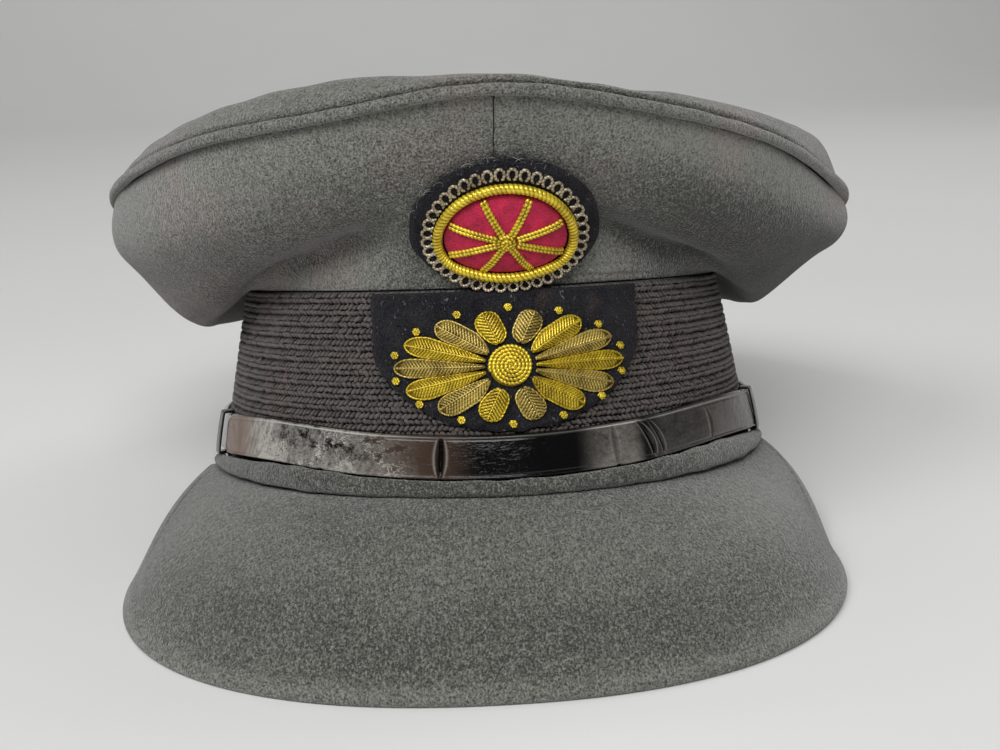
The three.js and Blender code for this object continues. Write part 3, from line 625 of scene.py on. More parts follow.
class Body:
    """A mesh under construction: points in upright millimetres, faces as arrays of any width, and
    numbers that its material reads at each point."""

    def __init__(self):
        self.points = []
        self.faces = []
        self.marks = {}
        self.count = 0

    def add(self, points, *face_sets, **marks):
        """Adds points, the faces that number them from 0, and marks spread over the points' grid."""
        grid = np.shape(points)[:-1]
        points = np.asarray(points, float).reshape(-1, 3)
        self.points.append(points)
        self.faces += [np.asarray(faces) + self.count for faces in face_sets]
        for name, value in marks.items():
            self.marks.setdefault(name, []).append(np.broadcast_to(value, grid).ravel())
        self.count += len(points)
        return self

    def volume(self, points):
        """Six times the signed volume, each face split into a fan of triangles from its first corner."""
        total = 0.0
        for faces in self.faces:
            a = points[faces[:, 0]]
            for k in range(1, faces.shape[1] - 1):
                b, c = points[faces[:, k]], points[faces[:, k + 1]]
                total += np.einsum("ij,ij->", a, np.cross(b, c))
        return total

    def finish(self, name, material, slot, *nodes):
        """Makes the object, with its faces outwards, riding on the cap and standing for the nodes."""
        points = placed(np.concatenate(self.points))
        flip = self.volume(points) < 0
        sets = [faces[:, ::-1] if flip else faces for faces in self.faces]
        mesh = bpy.data.meshes.new(name)
        mesh.vertices.add(len(points))
        mesh.vertices.foreach_set("co", points.ravel())
        corners = np.concatenate([faces.ravel() for faces in sets])
        widths = np.concatenate([np.full(len(faces), faces.shape[1]) for faces in sets])
        mesh.loops.add(len(corners))
        mesh.loops.foreach_set("vertex_index", corners)
        mesh.polygons.add(len(widths))
        mesh.polygons.foreach_set("loop_start", np.concatenate([[0], np.cumsum(widths)[:-1]]))
        mesh.polygons.foreach_set("use_smooth", np.ones(len(widths), bool))
        for mark, values in self.marks.items():
            layer = mesh.attributes.new(mark, "FLOAT", "POINT")
            layer.data.foreach_set("value", np.concatenate(values))
        mesh.update(calc_edges=True)
        mesh.validate()
        mesh.materials.append(material)
        made = add_object(name, mesh)
        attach(made, "root")
        if nodes:
            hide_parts(*nodes)
        return made


def skin(rows, across, ring=False):
    """Four-sided faces between neighbouring rows of points, each row a closed loop."""
    i = np.arange(rows if ring else rows - 1)[:, None]
    k = np.arange(across)[None, :]
    j, m = (i + 1) % rows, (k + 1) % across
    return np.stack([i * across + k, i * across + m, j * across + m, j * across + k], -1).reshape(-1, 4)


def end_bars(rows, across):
    """Faces across both ends of a strip whose rows run out along one side and back along the other."""
    i = np.arange(across // 2 - 1)
    bars = np.stack([i, i + 1, across - 2 - i, across - 1 - i], -1)
    return np.concatenate([bars[:, ::-1], bars + (rows - 1) * across])


def end_fans(rows, across):
    """Triangles from each end ring to a first and a last point, numbered after the rings."""
    k = np.arange(across)
    m = (k + 1) % across
    total = rows * across
    first = np.stack([m, k, np.full(across, total)], -1)
    last = np.stack([k, m, np.full(across, total + 1)], -1) + [total - across, total - across, 0]
    return np.concatenate([first, last])


def repeat_faces(faces, copies, size):
    """The faces of one small body for many copies, each with its own run of points."""
    return (faces[None] + (np.arange(copies) * size)[:, None, None]).reshape(-1, faces.shape[1])


def hoop(rows, **marks):
    """A closed ring of rows, each a closed loop of points."""
    count, across = rows.shape[:2]
    return Body().add(rows, skin(count, across, ring=True), **marks)


def strip(rows, **marks):
    """A strip of rows that run out along one side and back along the other, closed at both ends."""
    count, across = rows.shape[:2]
    return Body().add(rows, skin(count, across), end_bars(count, across), **marks)


def cushion(first, rows, last, body=None, **marks):
    """Rings of points closed by a first and a last point."""
    count, across = rows.shape[:2]
    points = np.concatenate([rows.reshape(-1, 3), np.reshape(first, (1, 3)), np.reshape(last, (1, 3))])
    return (body or Body()).add(points, skin(count, across), end_fans(count, across), **marks)


class Value:
    """A shader output in an expression. Arithmetic on it adds Math nodes."""

    def __init__(self, finish, socket):
        self.finish = finish
        self.socket = socket

    def math(self, operation, *others, swap=False):
        values = [self, *others][:: -1 if swap else 1]
        inputs = dict(enumerate(values))
        return self.finish.node("ShaderNodeMath", {"operation": operation}, inputs)

    def __add__(self, other):
        return self.math("ADD", other)

    def __sub__(self, other):
        return self.math("SUBTRACT", other)

    def __rsub__(self, other):
        return self.math("SUBTRACT", other, swap=True)

    def __mul__(self, other):
        return self.math("MULTIPLY", other)

    __radd__ = __add__
    __rmul__ = __mul__

    def clamp(self, low=0.0, high=1.0):
        return self.math("MAXIMUM", low).math("MINIMUM", high)

    def window(self, start, end):
        """0 below start, 1 above end, smooth between."""
        inputs = {"Value": self, "From Min": start, "From Max": end}
        return self.finish.node("ShaderNodeMapRange", {"interpolation_type": "SMOOTHSTEP"}, inputs)

    def span(self, start, full, leave, end):
        """0 up to start, 1 from full to leave, and 0 again from end."""
        return self.window(start, full) * (1 - self.window(leave, end))


class Finish:
    """A material built round one Principled shader."""

    def __init__(self, name, **constants):
        self.material = bpy.data.materials.new(name)
        self.material.use_nodes = True
        self.tree = self.material.node_tree
        self.shader = self.tree.nodes["Principled BSDF"]
        self.put_all(constants)

    def put_all(self, values):
        """Puts values into the shader's inputs, which are named in small letters."""
        for key, value in values.items():
            self.put(self.shader, key.replace("_", " ").title().replace("Ior", "IOR"), value)

    def put(self, node, key, value):
        if isinstance(key, int):
            socket = node.inputs[key]
        else:
            socket = next(s for s in node.inputs if key in (s.identifier, s.name))
        if isinstance(value, Value):
            self.tree.links.new(value.socket, socket)
        else:
            socket.default_value = value

    def node(self, kind, settings=None, inputs=None, output=0):
        made = self.tree.nodes.new(kind)
        for key, value in (settings or {}).items():
            setattr(made, key, value)
        for key, value in (inputs or {}).items():
            self.put(made, key, value)
        if isinstance(output, int):
            return Value(self, made.outputs[output])
        return Value(self, next(s for s in made.outputs if output in (s.identifier, s.name)))

    def place(self, scale=(1, 1, 1), turn=(0, 0, 0)):
        """Object coordinates in metres, scaled and turned."""
        at = self.node("ShaderNodeTexCoord", output="Object")
        if scale == (1, 1, 1) and turn == (0, 0, 0):
            return at
        return self.node("ShaderNodeMapping", inputs={"Vector": at, "Scale": scale, "Rotation": turn})

    def noise(self, size, detail=2.0, roughness=0.5, scale=(1, 1, 1), turn=(0, 0, 0), distortion=0.0):
        """Noise whose lumps are about size metres across."""
        inputs = {
            "Vector": self.place(scale, turn),
            "Scale": 1 / size,
            "Detail": detail,
            "Roughness": roughness,
            "Distortion": distortion,
        }
        return self.node("ShaderNodeTexNoise", inputs=inputs)

    def mark(self, name):
        return self.node("ShaderNodeAttribute", {"attribute_name": name}, output="Fac")

    def blend(self, share, first, second):
        first = first if isinstance(first, Value) else (*first, 1)
        second = second if isinstance(second, Value) else (*second, 1)
        inputs = {"Factor_Float": share, "A_Color": first, "B_Color": second}
        return self.node("ShaderNodeMix", {"data_type": "RGBA"}, inputs, "Result_Color")

    def surface(self, colour=None, roughness=None, height=None, depth=0.0, strength=1.0, **others):
        """Links what varies to the shader. The height becomes a bump depth metres deep."""
        if colour is not None:
            self.put(self.shader, "Base Color", colour)
        if roughness is not None:
            self.put(self.shader, "Roughness", roughness)
        if height is not None:
            inputs = {"Height": height, "Distance": depth, "Strength": strength}
            self.put(self.shader, "Normal", self.node("ShaderNodeBump", inputs=inputs))
        self.put_all(others)
        return self.material


def wool(name, dark, light, warm, nap=(1, 1, 0.3)):
    """Napped melton: pale flecks of fibre ends and dark pits between them, on strands that lie in two
    directions, with broad patches where the nap is brushed another way."""
    finish = Finish(name, sheen_weight=0.4, sheen_roughness=0.45, specular_ior_level=0.1)
    grain = finish.noise(0.0005, 1.0, 0.6)
    upright = finish.noise(0.00055, 1.0, 0.6, scale=nap)
    slant = finish.noise(0.0006, 1.0, 0.6, scale=(1, 0.35, 1), turn=(0.5, 0.6, 0.4))
    mottle = finish.noise(0.0022, 2.0, 0.6)
    patch = finish.noise(0.03, 2.0, 0.5)
    flecks = upright.window(0.54, 0.66) * 0.4 + slant.window(0.55, 0.68) * 0.35
    flecks = flecks + grain.window(0.56, 0.7) * 0.4
    pits = grain.window(0.47, 0.36) * 0.38 + slant.window(0.45, 0.34) * 0.22
    speckle = flecks - pits + (mottle - 0.5) * 0.46 + (patch - 0.5) * 0.35
    # The painted light and wear mark lightens the cloth: painted light and shade on the crown, welt, top and
    # peak, wear and painted rim light at the peak's edge, and a left-to-right tone on the roll
    speckle = speckle + finish.mark("worn") * LIGHT_AND_WEAR_LIFT + 0.34
    tinted = finish.blend((patch.window(0.48, 0.66) * 0.5 + finish.mark("warm")).clamp(), light, warm)
    colour = finish.blend(speckle.clamp(0, 1.3), dark, tinted)
    height = grain * 0.5 + upright * 0.3 + slant * 0.2 + mottle * 0.3
    return finish.surface(colour, 0.95, height, depth=0.0012, strength=0.9)


def braid_finish():
    """Mohair: hairs that shine grey to brown in patches, as bright as the strand's shade mark says."""
    finish = Finish("mohair_braid", sheen_weight=0.25, sheen_roughness=0.4, specular_ior_level=0.3)
    hair = finish.noise(0.0003, 3.0, 0.7, scale=(1, 1, 0.5))
    patch = finish.noise(0.03, 2.0)
    shade = finish.mark("shade")
    lit = finish.blend(patch.window(0.4, 0.65), BRAID_GREY, BRAID_BROWN)
    colour = finish.blend(((hair - 0.5) * 1.6 + shade).clamp(), BRAID_DARK, lit)
    return finish.surface(colour, 0.72, hair, depth=0.0005, strength=0.8)


def patent_finish():
    """Patent leather, by its marks: along it in degrees, black and glossy in front, scratched and scuffed
    on the left under a pale painted reflection, with a pale painted streak of reflection by a dull end
    that is painted brown as a reflection, and less painted reflection on the right. Creases get painted
    shade in the slit and painted highlights at their sides, and the painted reflection is stronger low
    down, where there are more scratches, with a painted glint along the raised edge."""
    finish = Finish("patent_leather", specular_ior_level=0.15, coat_roughness=0.06, coat_ior=1.35)
    along = finish.mark("along")
    crease = finish.mark("crease")
    fine = finish.noise(0.0007, 3.0, 0.7, scale=(0.6, 1, 1))
    crackle = finish.noise(0.003, 4.0, 0.75, scale=(0.6, 1, 1.2))
    wave = finish.noise(0.009, 2.0, 0.5)
    streak = finish.noise(0.0016, 2.0, 0.6, scale=(1, 1, 0.15))
    scratch = (crackle - 0.5).math("ABSOLUTE").window(0.035, 0.005) * wave.window(0.42, 0.56)
    low = 1 - finish.mark("across").window(-0.7, 0.1)
    # Windows along the strap: pale is a painted streak of reflection near the left end, left the scuffed run
    # under painted reflection, right the weaker painted reflection.
    pale = along.span(-60, -52, -50, -42)
    left = along.span(-54, -46, -32, -12)
    right = along.span(12.5, 20, 24, 27) * 0.75 + along.span(26, 32, 64, 70) * 0.3
    cover = (crackle - 0.5) * 1.6 + (fine - 0.5) * 1.2
    # Real scratches and scuffs with pale painted reflection over them, stronger low down.
    scuffs_and_reflection = left * (cover + 0.24 + scratch * 0.7 + low * (scratch * 1.3 + 0.28))
    scuffs_and_reflection = scuffs_and_reflection + pale * (streak * 1.7 - 0.4) + right * (cover * 0.45 + 0.3 + low * 0.15)
    # A painted glint along the raised edge.
    scuffs_and_reflection = scuffs_and_reflection + finish.mark("bead") * (left + right + 0.2).clamp() * 1.1
    # Painted highlights beside each crease.
    scuffs_and_reflection = (scuffs_and_reflection + crease.clamp() * 0.5).clamp(0, 1.3)
    # Brown painted reflection at the left end, by the first crease and on the right.
    brown_reflection = 1 - along.window(-56, -48) + along.span(-34, -18, -11, -4) * 0.3
    brown_reflection = brown_reflection + right * 0.1 + along.span(40, 46, 64, 70) * 0.15
    base = finish.blend(brown_reflection.clamp(), PATENT_BLACK, PATENT_BROWN)
    colour = finish.blend(scuffs_and_reflection, base, PATENT_SCUFF_REFLECTION)
    # Painted shade: the creases' slits are darkened nearly to black.
    colour = finish.blend((crease * -1).clamp(), colour, PATENT_CREASE)
    roughness = (scuffs_and_reflection * 0.28 + fine * 0.08 + 0.05).clamp(0.05, 0.6)
    height = wave * 0.6 + crackle * 0.35 + fine * 0.05
    dull = (1 - along.window(-60, -44)) * 0.5 + along.span(42, 62, 64, 70) * 0.42
    coat = (0.6 - scuffs_and_reflection * 0.25 - dull).clamp()
    return finish.surface(colour, roughness, height, depth=0.0012, strength=0.6, coat_weight=coat)


def felt_finish():
    """Blue-black felt, mottled and a little rusty in patches, with pale lint on it."""
    finish = Finish("badge_felt", sheen_weight=0.06, sheen_roughness=0.5, specular_ior_level=0.08)
    fibre = finish.noise(0.00045, 3.0, 0.7)
    patch = finish.noise(0.006, 3.0, 0.6)
    lint = finish.noise(0.0011, 1.0, 0.5, scale=(1, 1, 0.5), distortion=1.5).window(0.68, 0.76)
    rust = finish.noise(0.009, 2.0, 0.6).window(0.58, 0.72)
    share = ((fibre - 0.5) * 2.6 + (patch - 0.5) + 0.35).clamp()
    ground = finish.blend(share, FELT_DARK, FELT_LIGHT)
    colour = finish.blend(lint * 0.7, finish.blend(rust * share, ground, FELT_RUST), FELT_LINT)
    return finish.surface(colour, 0.95, fibre, depth=0.0008, strength=0.8)


def velvet_finish():
    """Crimson pile, crushed darker and lighter in patches."""
    finish = Finish("crimson_velvet", sheen_weight=0.35, sheen_roughness=0.35, sheen_tint=(1, 0.2, 0.4, 1))
    pile = finish.noise(0.0004, 2.0, 0.6)
    crush = finish.noise(0.0035, 3.0, 0.6)
    share = ((pile - 0.5) * 1.2 + (crush - 0.5) * 1.4 + 0.5).clamp()
    colour = finish.blend(share, VELVET_DARK, VELVET_LIGHT)
    return finish.surface(colour, 0.75, pile, depth=0.0006, strength=0.7)


def wire_finish(name, dark, light, roughness):
    """Embroidery wire: metal that is tarnished in patches, darker between its turns."""
    finish = Finish(name, metallic=0.5)
    tarnish = finish.noise(0.004, 3.0, 0.6)
    fine = finish.noise(0.0006, 2.0, 0.6)
    shade = finish.mark("shade")
    share = (shade + (tarnish - 0.5) * 1.3 + (fine - 0.5) * 0.7).clamp()
    return finish.surface(finish.blend(share, dark, light), roughness + (fine - 0.5) * 0.15)


def lint_finish():
    """Dull threads, dark to pale along their way."""
    finish = Finish("pale_lint", roughness=0.8)
    tone = finish.noise(0.004, 2.0)
    return finish.surface(finish.blend(tone.window(0.4, 0.6), THREAD_DARK, THREAD_LIGHT))


def gilt_finish():
    """Gilt metal, duller where it is tarnished."""
    finish = Finish("button_gilt", metallic=1.0)
    tarnish = finish.noise(0.003, 3.0, 0.6)
    colour = finish.blend(tarnish.window(0.35, 0.7), GILT_DARK, GILT_LIGHT)
    return finish.surface(colour, tarnish * 0.25 + 0.14)


cloth = wool("grey_melton", CLOTH_DARK, CLOTH_LIGHT, CLOTH_WARM)
peak_cloth = wool("grey_melton_peak", CLOTH_DARK, CLOTH_LIGHT, PEAK_WARM, nap=(1, 0.4, 0.6))
braid = braid_finish()
patent = patent_finish()
felt = felt_finish()
velvet = velvet_finish()
antique = wire_finish("antique_gold_wire", ANTIQUE_DARK, ANTIQUE_LIGHT, 0.36)
pale = wire_finish("pale_gold_wire", PALE_DARK, PALE_LIGHT, 0.3)
bright = wire_finish("bright_gold_wire", BRIGHT_DARK, BRIGHT_LIGHT, 0.33)
gilt = gilt_finish()
lint = lint_finish()


def pinch_above_band(angle):
    """Where up the side crown its valley lies, and how strong it is, 0 to 1."""
    side = np.abs(angle - VALLEY_CENTRE)
    valley = mix(VALLEY_IN_FRONT, VALLEY_AT_SIDES, smooth_step(10, 46, side))
    return valley, rise_and_fall(12, 27, 46, 66, side)


def beside(angle):
    """0 in front and 1 from the cap's sides back."""
    return smooth_step(55, 78, np.abs(angle))


def side_push(angle):
    """How far the rim is pushed out at the right, in millimetres: a bell over the direction."""
    return SIDE_PUSH * bell(angle, SIDE_PUSH_ANGLE, SIDE_PUSH_SPREAD)


def crown_relief(angle, t):
    """Relief of the side crown in millimetres: the turned-in seams, the valley above the band, a turn in
    under the welt in front and fullness there at the sides, pressed lines and small gathers where the
    cloth is sewn on, soft waves, less the slack at each side, and the push."""
    arc = np.minimum(np.abs(angle), 180 - np.abs(angle)) * SEAM_ARC
    seam = SEAM_EDGE * bell(arc, 2 * SEAM_WIDTH, SEAM_WIDTH) - SEAM_DEPTH * bell(arc, 0, SEAM_WIDTH)
    valley, pinch = pinch_above_band(angle)
    fold = -VALLEY_DEPTH * bell(t, valley, np.where(t < valley, 0.55 * valley, 0.13)) * pinch
    turn_in = -TURN_IN * smooth_step(0.7, 1, t) * (1 - beside(angle))
    full = FULLNESS * smooth_step(0.5, 0.8, t) * (1 - 0.25 * smooth_step(0.9, 1, t)) * beside(angle)
    pressed = -PRESS_DEPTH * (bell(t, 0.035, 0.01) + bell(t, 0.085, 0.012))
    pressed = pressed * rise_and_fall(12, 16, 30, 40, angle)
    gathers = GATHER_DEPTH * ripple(3, angle / 7, waves=9) * np.exp(-t / 0.1) * smooth_step(0, 0.02, t)
    waves = WAVE_DEPTH * ripple(5, angle / 60, t / 1.2) * rise_and_fall(0.1, 0.5, 0.8, 1, t)
    fine = PUCKER_DEPTH * ripple(8, angle / 9, t / 0.25, waves=12) * smooth_step(0.02, 0.1, t)
    slack = SLACK_LEFT * bell(t, 0.7, 0.15) * smooth_step(60, 85, -angle)
    slack = slack + SLACK_RIGHT * bell(t, 0.35, 0.15) * smooth_step(60, 80, angle)
    pushed = side_push(angle) * smooth_step(0.6, 0.95, t)
    return seam + fold + turn_in + full + pressed + gathers + waves + fine - slack + pushed


def crown_tone(angle, t, warm):
    """How much the side crown's colour is lightened or darkened: painted light under the welt, more on
    the right, and on the ledge above the band, lighter where it is warm, and painted shade in the
    valley and over the right side below the welt."""
    valley, pinch = pinch_above_band(angle)
    ledge = bell(t, 0.35 * valley, 0.5 * valley) * pinch
    hollow = bell(t, valley + 0.08, 0.1) * pinch
    rim = smooth_step(0.75, 0.95, t)
    tone = HIGH_TONE * smooth_step(0.6, 0.95, t) + VALLEY_TONE * hollow
    tone = tone + np.where(angle > 0, LEDGE_TONE_RIGHT, LEDGE_TONE_LEFT) * ledge
    tone = tone + SHADED_TONE * smooth_step(18, 40, angle) * (1 - rim) + WARM_TONE * warm
    return tone + RIM_TONE * rim * smooth_step(5, 30, angle) + CROWN_TONE


def side_crown(side, name):
    """Half of the side crown: rows from the front seam to the back one, closer near both, each out along
    the cloth's outside and back along its inside."""
    seam = math.degrees(math.asin(GAP / 2 / CROWN_FRONT_REACH))
    share = np.linspace(0, 1, 241)
    eased = share - 0.08 * np.sin(2 * np.pi * share) / np.pi
    angle = side * mix(seam, 180 - seam, eased)[:, None]
    outside = np.linspace(0, 1, 97)[None, :] ** 1.1
    inside = np.linspace(1, 0, 17)[None, :]
    face = crown_point(angle, outside, -crown_relief(angle, outside))
    back = crown_point(angle, inside, CLOTH - 0.8 * crown_relief(angle, inside))
    t = np.concatenate([outside, inside], 1)
    warm = bell(angle, -66, 26) * bell(t, 0.3, 0.28)
    # The side crown's colour gets the painted light and shade of crown_tone.
    worn = crown_tone(angle, t, warm) / LIGHT_AND_WEAR_LIFT
    made = strip(np.concatenate([face, back], 1), warm=warm, worn=worn)
    return made.finish(name, cloth, "cloth", name.replace("_cloth", ""))


def welt():
    """The corded seam: a tube round the rim, thicker from the sides back and uneven along its way."""
    turn = circle(18)[None, :]
    angle = cap_round(720)[:, None]
    centre = welt_centre(angle[:, 0])
    outward = unit(centre * [1, 1, 0])
    front = 1 - beside(angle)
    cord = mix(np.where(angle > 0, WELT_CORD_RIGHT, WELT_CORD_LEFT), WELT_CORD, front)
    centre = centre + (side_push(angle) - WELT_DRAW * front) * outward
    centre[:, 2:] -= WELT_RADIUS - cord + WELT_SINK
    radius = cord * (1 + WELT_UNEVEN * ripple(11, angle / 5, turn / 9))
    rows = rings_along(centre, outward, np.array([[0, 0, 1]]), radius, turn)
    # Painted light: the welt's colour is lightened, more towards the right.
    worn = (WELT_TONE + WELT_TONE_RIGHT * smooth_step(0, 50, angle)) / LIGHT_AND_WEAR_LIFT
    return hoop(rows, worn=worn).finish("welt_cloth", cloth, "cloth", "crown_welt")


def top_relief(angle, share):
    """Dents where the table says, radial puckers behind the welt, a fuller edge at the right, and soft
    waves. The puckers and waves are calmer on the right."""
    relief = 0.0
    for at, out, wide, deep, depth in zip(*TOP_DENTS.values()):
        dent = depth * bell(half_turns(angle - at), 0, wide) * bell(share, out, deep)
        relief = relief - dent * smooth_step(0, 0.5, share)
    calm = 1 - 0.8 * rise_and_fall(12, 28, 110, 130, angle)
    puckers = TOP_PUCKER * ripple(21, angle / 9, waves=9) * rise_and_fall(0.72, 0.95, 0.965, 1, share)
    waves = TOP_WAVE * ripple(23, angle / 70, share / 1.5) * rise_and_fall(0.1, 0.4, 0.9, 1, share)
    edge = TOP_EDGE * bell(share, 0.96, 0.05) * bell(angle, TOP_EDGE_ANGLE, 12)
    return relief + edge + (puckers + waves) * calm


def top_panel():
    """The top panel: rings from the middle out on its face, down a lip that turns in behind the welt by
    the square of its way, and back on its underside."""
    angle = cap_round(360)[None, :]
    share = np.concatenate([np.linspace(0.03, 0.8, 26), np.linspace(0.8, 1, 27)[1:]])[:, None]
    point = top_point(angle, share)
    point = point + (side_push(angle) * share**4)[..., None] * unit(point * [1, 1, 0])
    up = upward(square_to(top_point, angle, np.minimum(share, 0.995), 0.5, 0.004))
    relief = top_relief(angle, share)[..., None]
    way = np.linspace(0, 1, 9)[1:, None, None]
    outward = unit(point[-1:] * [1, 1, 0])
    lip = point[-1:] + (LIP_BELLY * way * (1 - way) - LIP_INSET * way**2) * outward
    lip = lip - LIP_DROP * way * np.array([0, 0, 1])
    under = (point * [0.98, 0.98, 1] + up * (relief * 0.7 - CLOTH))[::-3]
    rows = np.concatenate([point + up * relief, lip, under])
    middle = np.array([0, 0, BAND_HEIGHT + TOP_MIDDLE_RISE])
    # Painted light: the top panel's colour is lightened all over.
    body = cushion(middle, rows, middle - [0, 0, CLOTH], worn=TOP_TONE / LIGHT_AND_WEAR_LIFT)
    return body.finish("top_cloth", cloth, "cloth", "crown_top")


def peak_tone(u, v):
    """How much the peak's face is lightened by painted light, in its middle and towards its corners, most
    the right one, and darkened by painted shade on its lower part near the edge.
    """
    tone = 0.7 * smooth_step(0.05, 0.6, u) + 0.4 * smooth_step(0.35, 0.7, -u)
    return tone - 0.5 * bell(v, 0.75, 0.14) + 0.45 * bell(v, 0.4, 0.22)


def peak():
    """The peak: rows from corner to corner, over its face with a tuck beside the edge, round the rolled
    edge, which is pale from wear and from painted rim light, and back beneath."""
    half = PEAK_THICKNESS / 2
    u = np.linspace(-1, 1, 241)[:, None]
    v = np.linspace(0, 1, 49)[None, :]
    inside_u = np.clip(u, -0.995, 0.995)

    def up_at(v):
        return upward(square_to(peak_point, inside_u, np.clip(v, 0.01, 0.99), 0.004, 0.006))

    reach = np.linalg.norm(peak_edge(u) - peak_point(u, 0.0), axis=-1)
    from_edge = (1 - v) * reach
    tuck = -TUCK_DEPTH * bell(from_edge, TUCK_INSET, TUCK_WIDTH) * smooth_step(8, 16, reach)
    soft = PEAK_WAVE * ripple(31, u * 2.2, v * 1.1) * rise_and_fall(0, 0.2, 0.9, 1, v)
    face = peak_point(u, v) + up_at(v) * (half + tuck + soft)[..., None]
    under_v = np.linspace(1, 0, 13)[None, :]
    under = peak_point(u, under_v) - up_at(under_v) * half
    edge = peak_edge(u)
    outward = unit(edge - peak_point(u, 0.94))
    turn = np.radians(np.linspace(78, -78, 10))[None, :, None]
    rolled = edge + up_at(np.ones((1, 1))) * half * np.sin(turn) + outward * half * np.cos(turn)
    # The face gets the painted light and shade of peak_tone and is paler within a few millimetres of the
    # edge; the rolled edge is pale too: wear and painted rim light.
    on_face = peak_tone(u, v) + 1 - smooth_step(1.0, 5.0, from_edge)
    on_edge, below = np.full(rolled.shape[:2], PEAK_EDGE_WEAR_AND_LIGHT), np.zeros(under.shape[:2])
    worn = np.concatenate([on_face, on_edge, below], 1)
    made = strip(np.concatenate([face, rolled, under], 1), worn=worn)
    return made.finish("peak_cloth", peak_cloth, "cloth", "peak")


def piping():
    """The cloth roll over the peak's seam: an oval tube that fills the height from the peak up to the
    strap."""
    turn = circle(24)[None, :]
    share = np.linspace(0, 1, 361)[:, None]
    angle = mix(-PEAK_END_ANGLE, PEAK_END_ANGLE, share)
    foot = -GAP - PIPING_RADIUS
    top = strap_height(angle) - STRAP_WIDTH / 2 - GAP - (KEEPER_WALL + GAP) * near_keeper(angle)
    taper = mix(0.35, 1, np.sqrt(smooth_step(0, 0.03, np.minimum(share, 1 - share))))
    taper = taper * (1 + 0.05 * ripple(41, angle / 6, turn / 8))
    off = PIPING_RADIUS + 2 * GAP + PIPING_RADIUS * taper * np.cos(turn)
    rows = band_point(angle, (top + foot) / 2 + (top - foot) / 2 * taper * np.sin(turn), off)
    # The roll's colour is darker on the left and lighter towards the right.
    worn = PIPING_TONE + PIPING_TONE_RIGHT * smooth_step(15, 50, angle)
    return strip(rows, worn=worn).finish("piping_cloth", peak_cloth, "cloth", "peak_piping")


def band_base():
    """The band's wall under the braid: shallow ribs outside and a plain face inside."""
    angle = cap_round(180)[:, None]
    height = np.linspace(0, BAND_HEIGHT, 4 * BRAID_RIBS + 1)
    off = -1.15 - 0.2 * np.cos(height / BAND_HEIGHT * BRAID_RIBS * 2 * np.pi)
    profile_height = np.concatenate([height, [BAND_HEIGHT, 0]])[None, :]
    profile_off = np.concatenate([off, [-BAND_WALL, -BAND_WALL]])[None, :]
    rows = band_point(angle, profile_height, profile_off)
    return hoop(rows, shade=0.1).finish("band_ground", braid, "braid", "braid_band")


def strand_body():
    """One strand as a unit spindle along x: two end points and three rings of five."""
    turn = np.linspace(0.5 * np.pi, 2.5 * np.pi, 6)[:-1]
    rings = [
        np.stack([np.full(5, along), wide * np.cos(turn), wide * np.sin(turn)], -1)
        for along, wide in ((-0.33, 0.42), (0, 0.5), (0.33, 0.42))
    ]
    points = np.concatenate([*rings, [[-0.5, 0, 0], [0.5, 0, 0]]])
    return points, skin(3, 5), end_fans(3, 5)


def braid_half(side, name):
    """Half of the braid's stitches: on each rib, pairs of strands that slant up and down from the rib's
    middle like links of a plait, with small differences in place, slant and tone, and painted shade at
    each strand's ends and low sides and towards the rib's grooves."""
    draw = np.random.default_rng(BRAID_SEED + side)
    columns = BRAID_COLUMNS // 2
    rib, column, leg = np.meshgrid(np.arange(BRAID_RIBS), np.arange(columns), (-1, 1), indexing="ij")
    rib, column, leg = rib.ravel(), column.ravel(), leg.ravel()
    count = len(rib)
    pitch = 360 / BRAID_COLUMNS
    angle = side * (column + 0.25 + 0.5 * (rib % 2) + 0.25 * leg) * pitch
    angle = angle + draw.normal(0, ANGLE_SPREAD, count)
    rise = BAND_HEIGHT / BRAID_RIBS
    height = (rib + 0.5 + 0.245 * leg) * rise + draw.normal(0, HEIGHT_SPREAD, count)
    slant = np.radians(-side * leg * STRAND_SLANT + draw.normal(0, SLANT_SPREAD, count))
    size = 1 + draw.normal(0, SIZE_SPREAD, (count, 1))
    points, sides, ends = strand_body()
    along = points[None, :, 0] * STRAND_LENGTH * size
    across = points[None, :, 1] * STRAND_WIDTH * size
    raised = points[None, :, 2] * STRAND_DEPTH
    cos, sin = np.cos(slant)[:, None], np.sin(slant)[:, None]
    run = along * cos - across * sin
    climb = along * sin + across * cos
    here = band_point(angle, height)
    step = np.linalg.norm(band_point(angle + 1, height) - here, axis=-1)[:, None]
    level = np.clip(height[:, None] + climb, 0.2, BAND_HEIGHT - 0.1)
    from_middle = (level - (rib[:, None] + 0.5) * rise) / (rise / 2)
    off = raised - STRAND_SINK - RIB_ROUNDING * from_middle**2
    made = band_point(angle[:, None] + run / step, level, off)
    # Painted shade: each strand is darker at its ends, on its low sides and towards the rib's grooves, so
    # the gaps read dark.
    rounded = 1.6 * points[None, :, 0] ** 2 + 0.5 * (0.5 - points[None, :, 2])
    shade = draw.normal(STRAND_TONE, TONE_SPREAD, (count, 1)) - 0.1 * from_middle**2 - 1.5 * rounded
    body = Body().add(
        made,
        repeat_faces(sides, count, len(points)),
        repeat_faces(ends, count, len(points)),
        shade=shade,
    )
    return body.finish(name, braid, "braid")


def strap_creases(angle, face):
    """The table's creases across a strap: how deep each is pressed, and its mark, which is negative in
    the slit, where it paints shade, and positive beside it, where it paints a highlight. Those near the
    right end bow."""
    pressed = slit = 0.0
    within = 1 - smooth_step(0.7, 0.95, np.abs(face))
    for at, lean, wide, depth in zip(*CREASES.values()):
        bow = 1.1 if at > 25 else 0.0
        here = angle - at - lean * face / 2 + bow * (face**2 - 0.4)
        here = here / (wide * (1.15 - 0.75 * face**2))
        pressed = pressed + depth * bell(here, 0, 1) * mix(0.4, 1, within)
        sides = 0.7 * bell(np.abs(here), 1.9, 0.4) - 1.4 * bell(here, 0, 1)
        slit = slit + depth * sides * within
    return pressed, slit


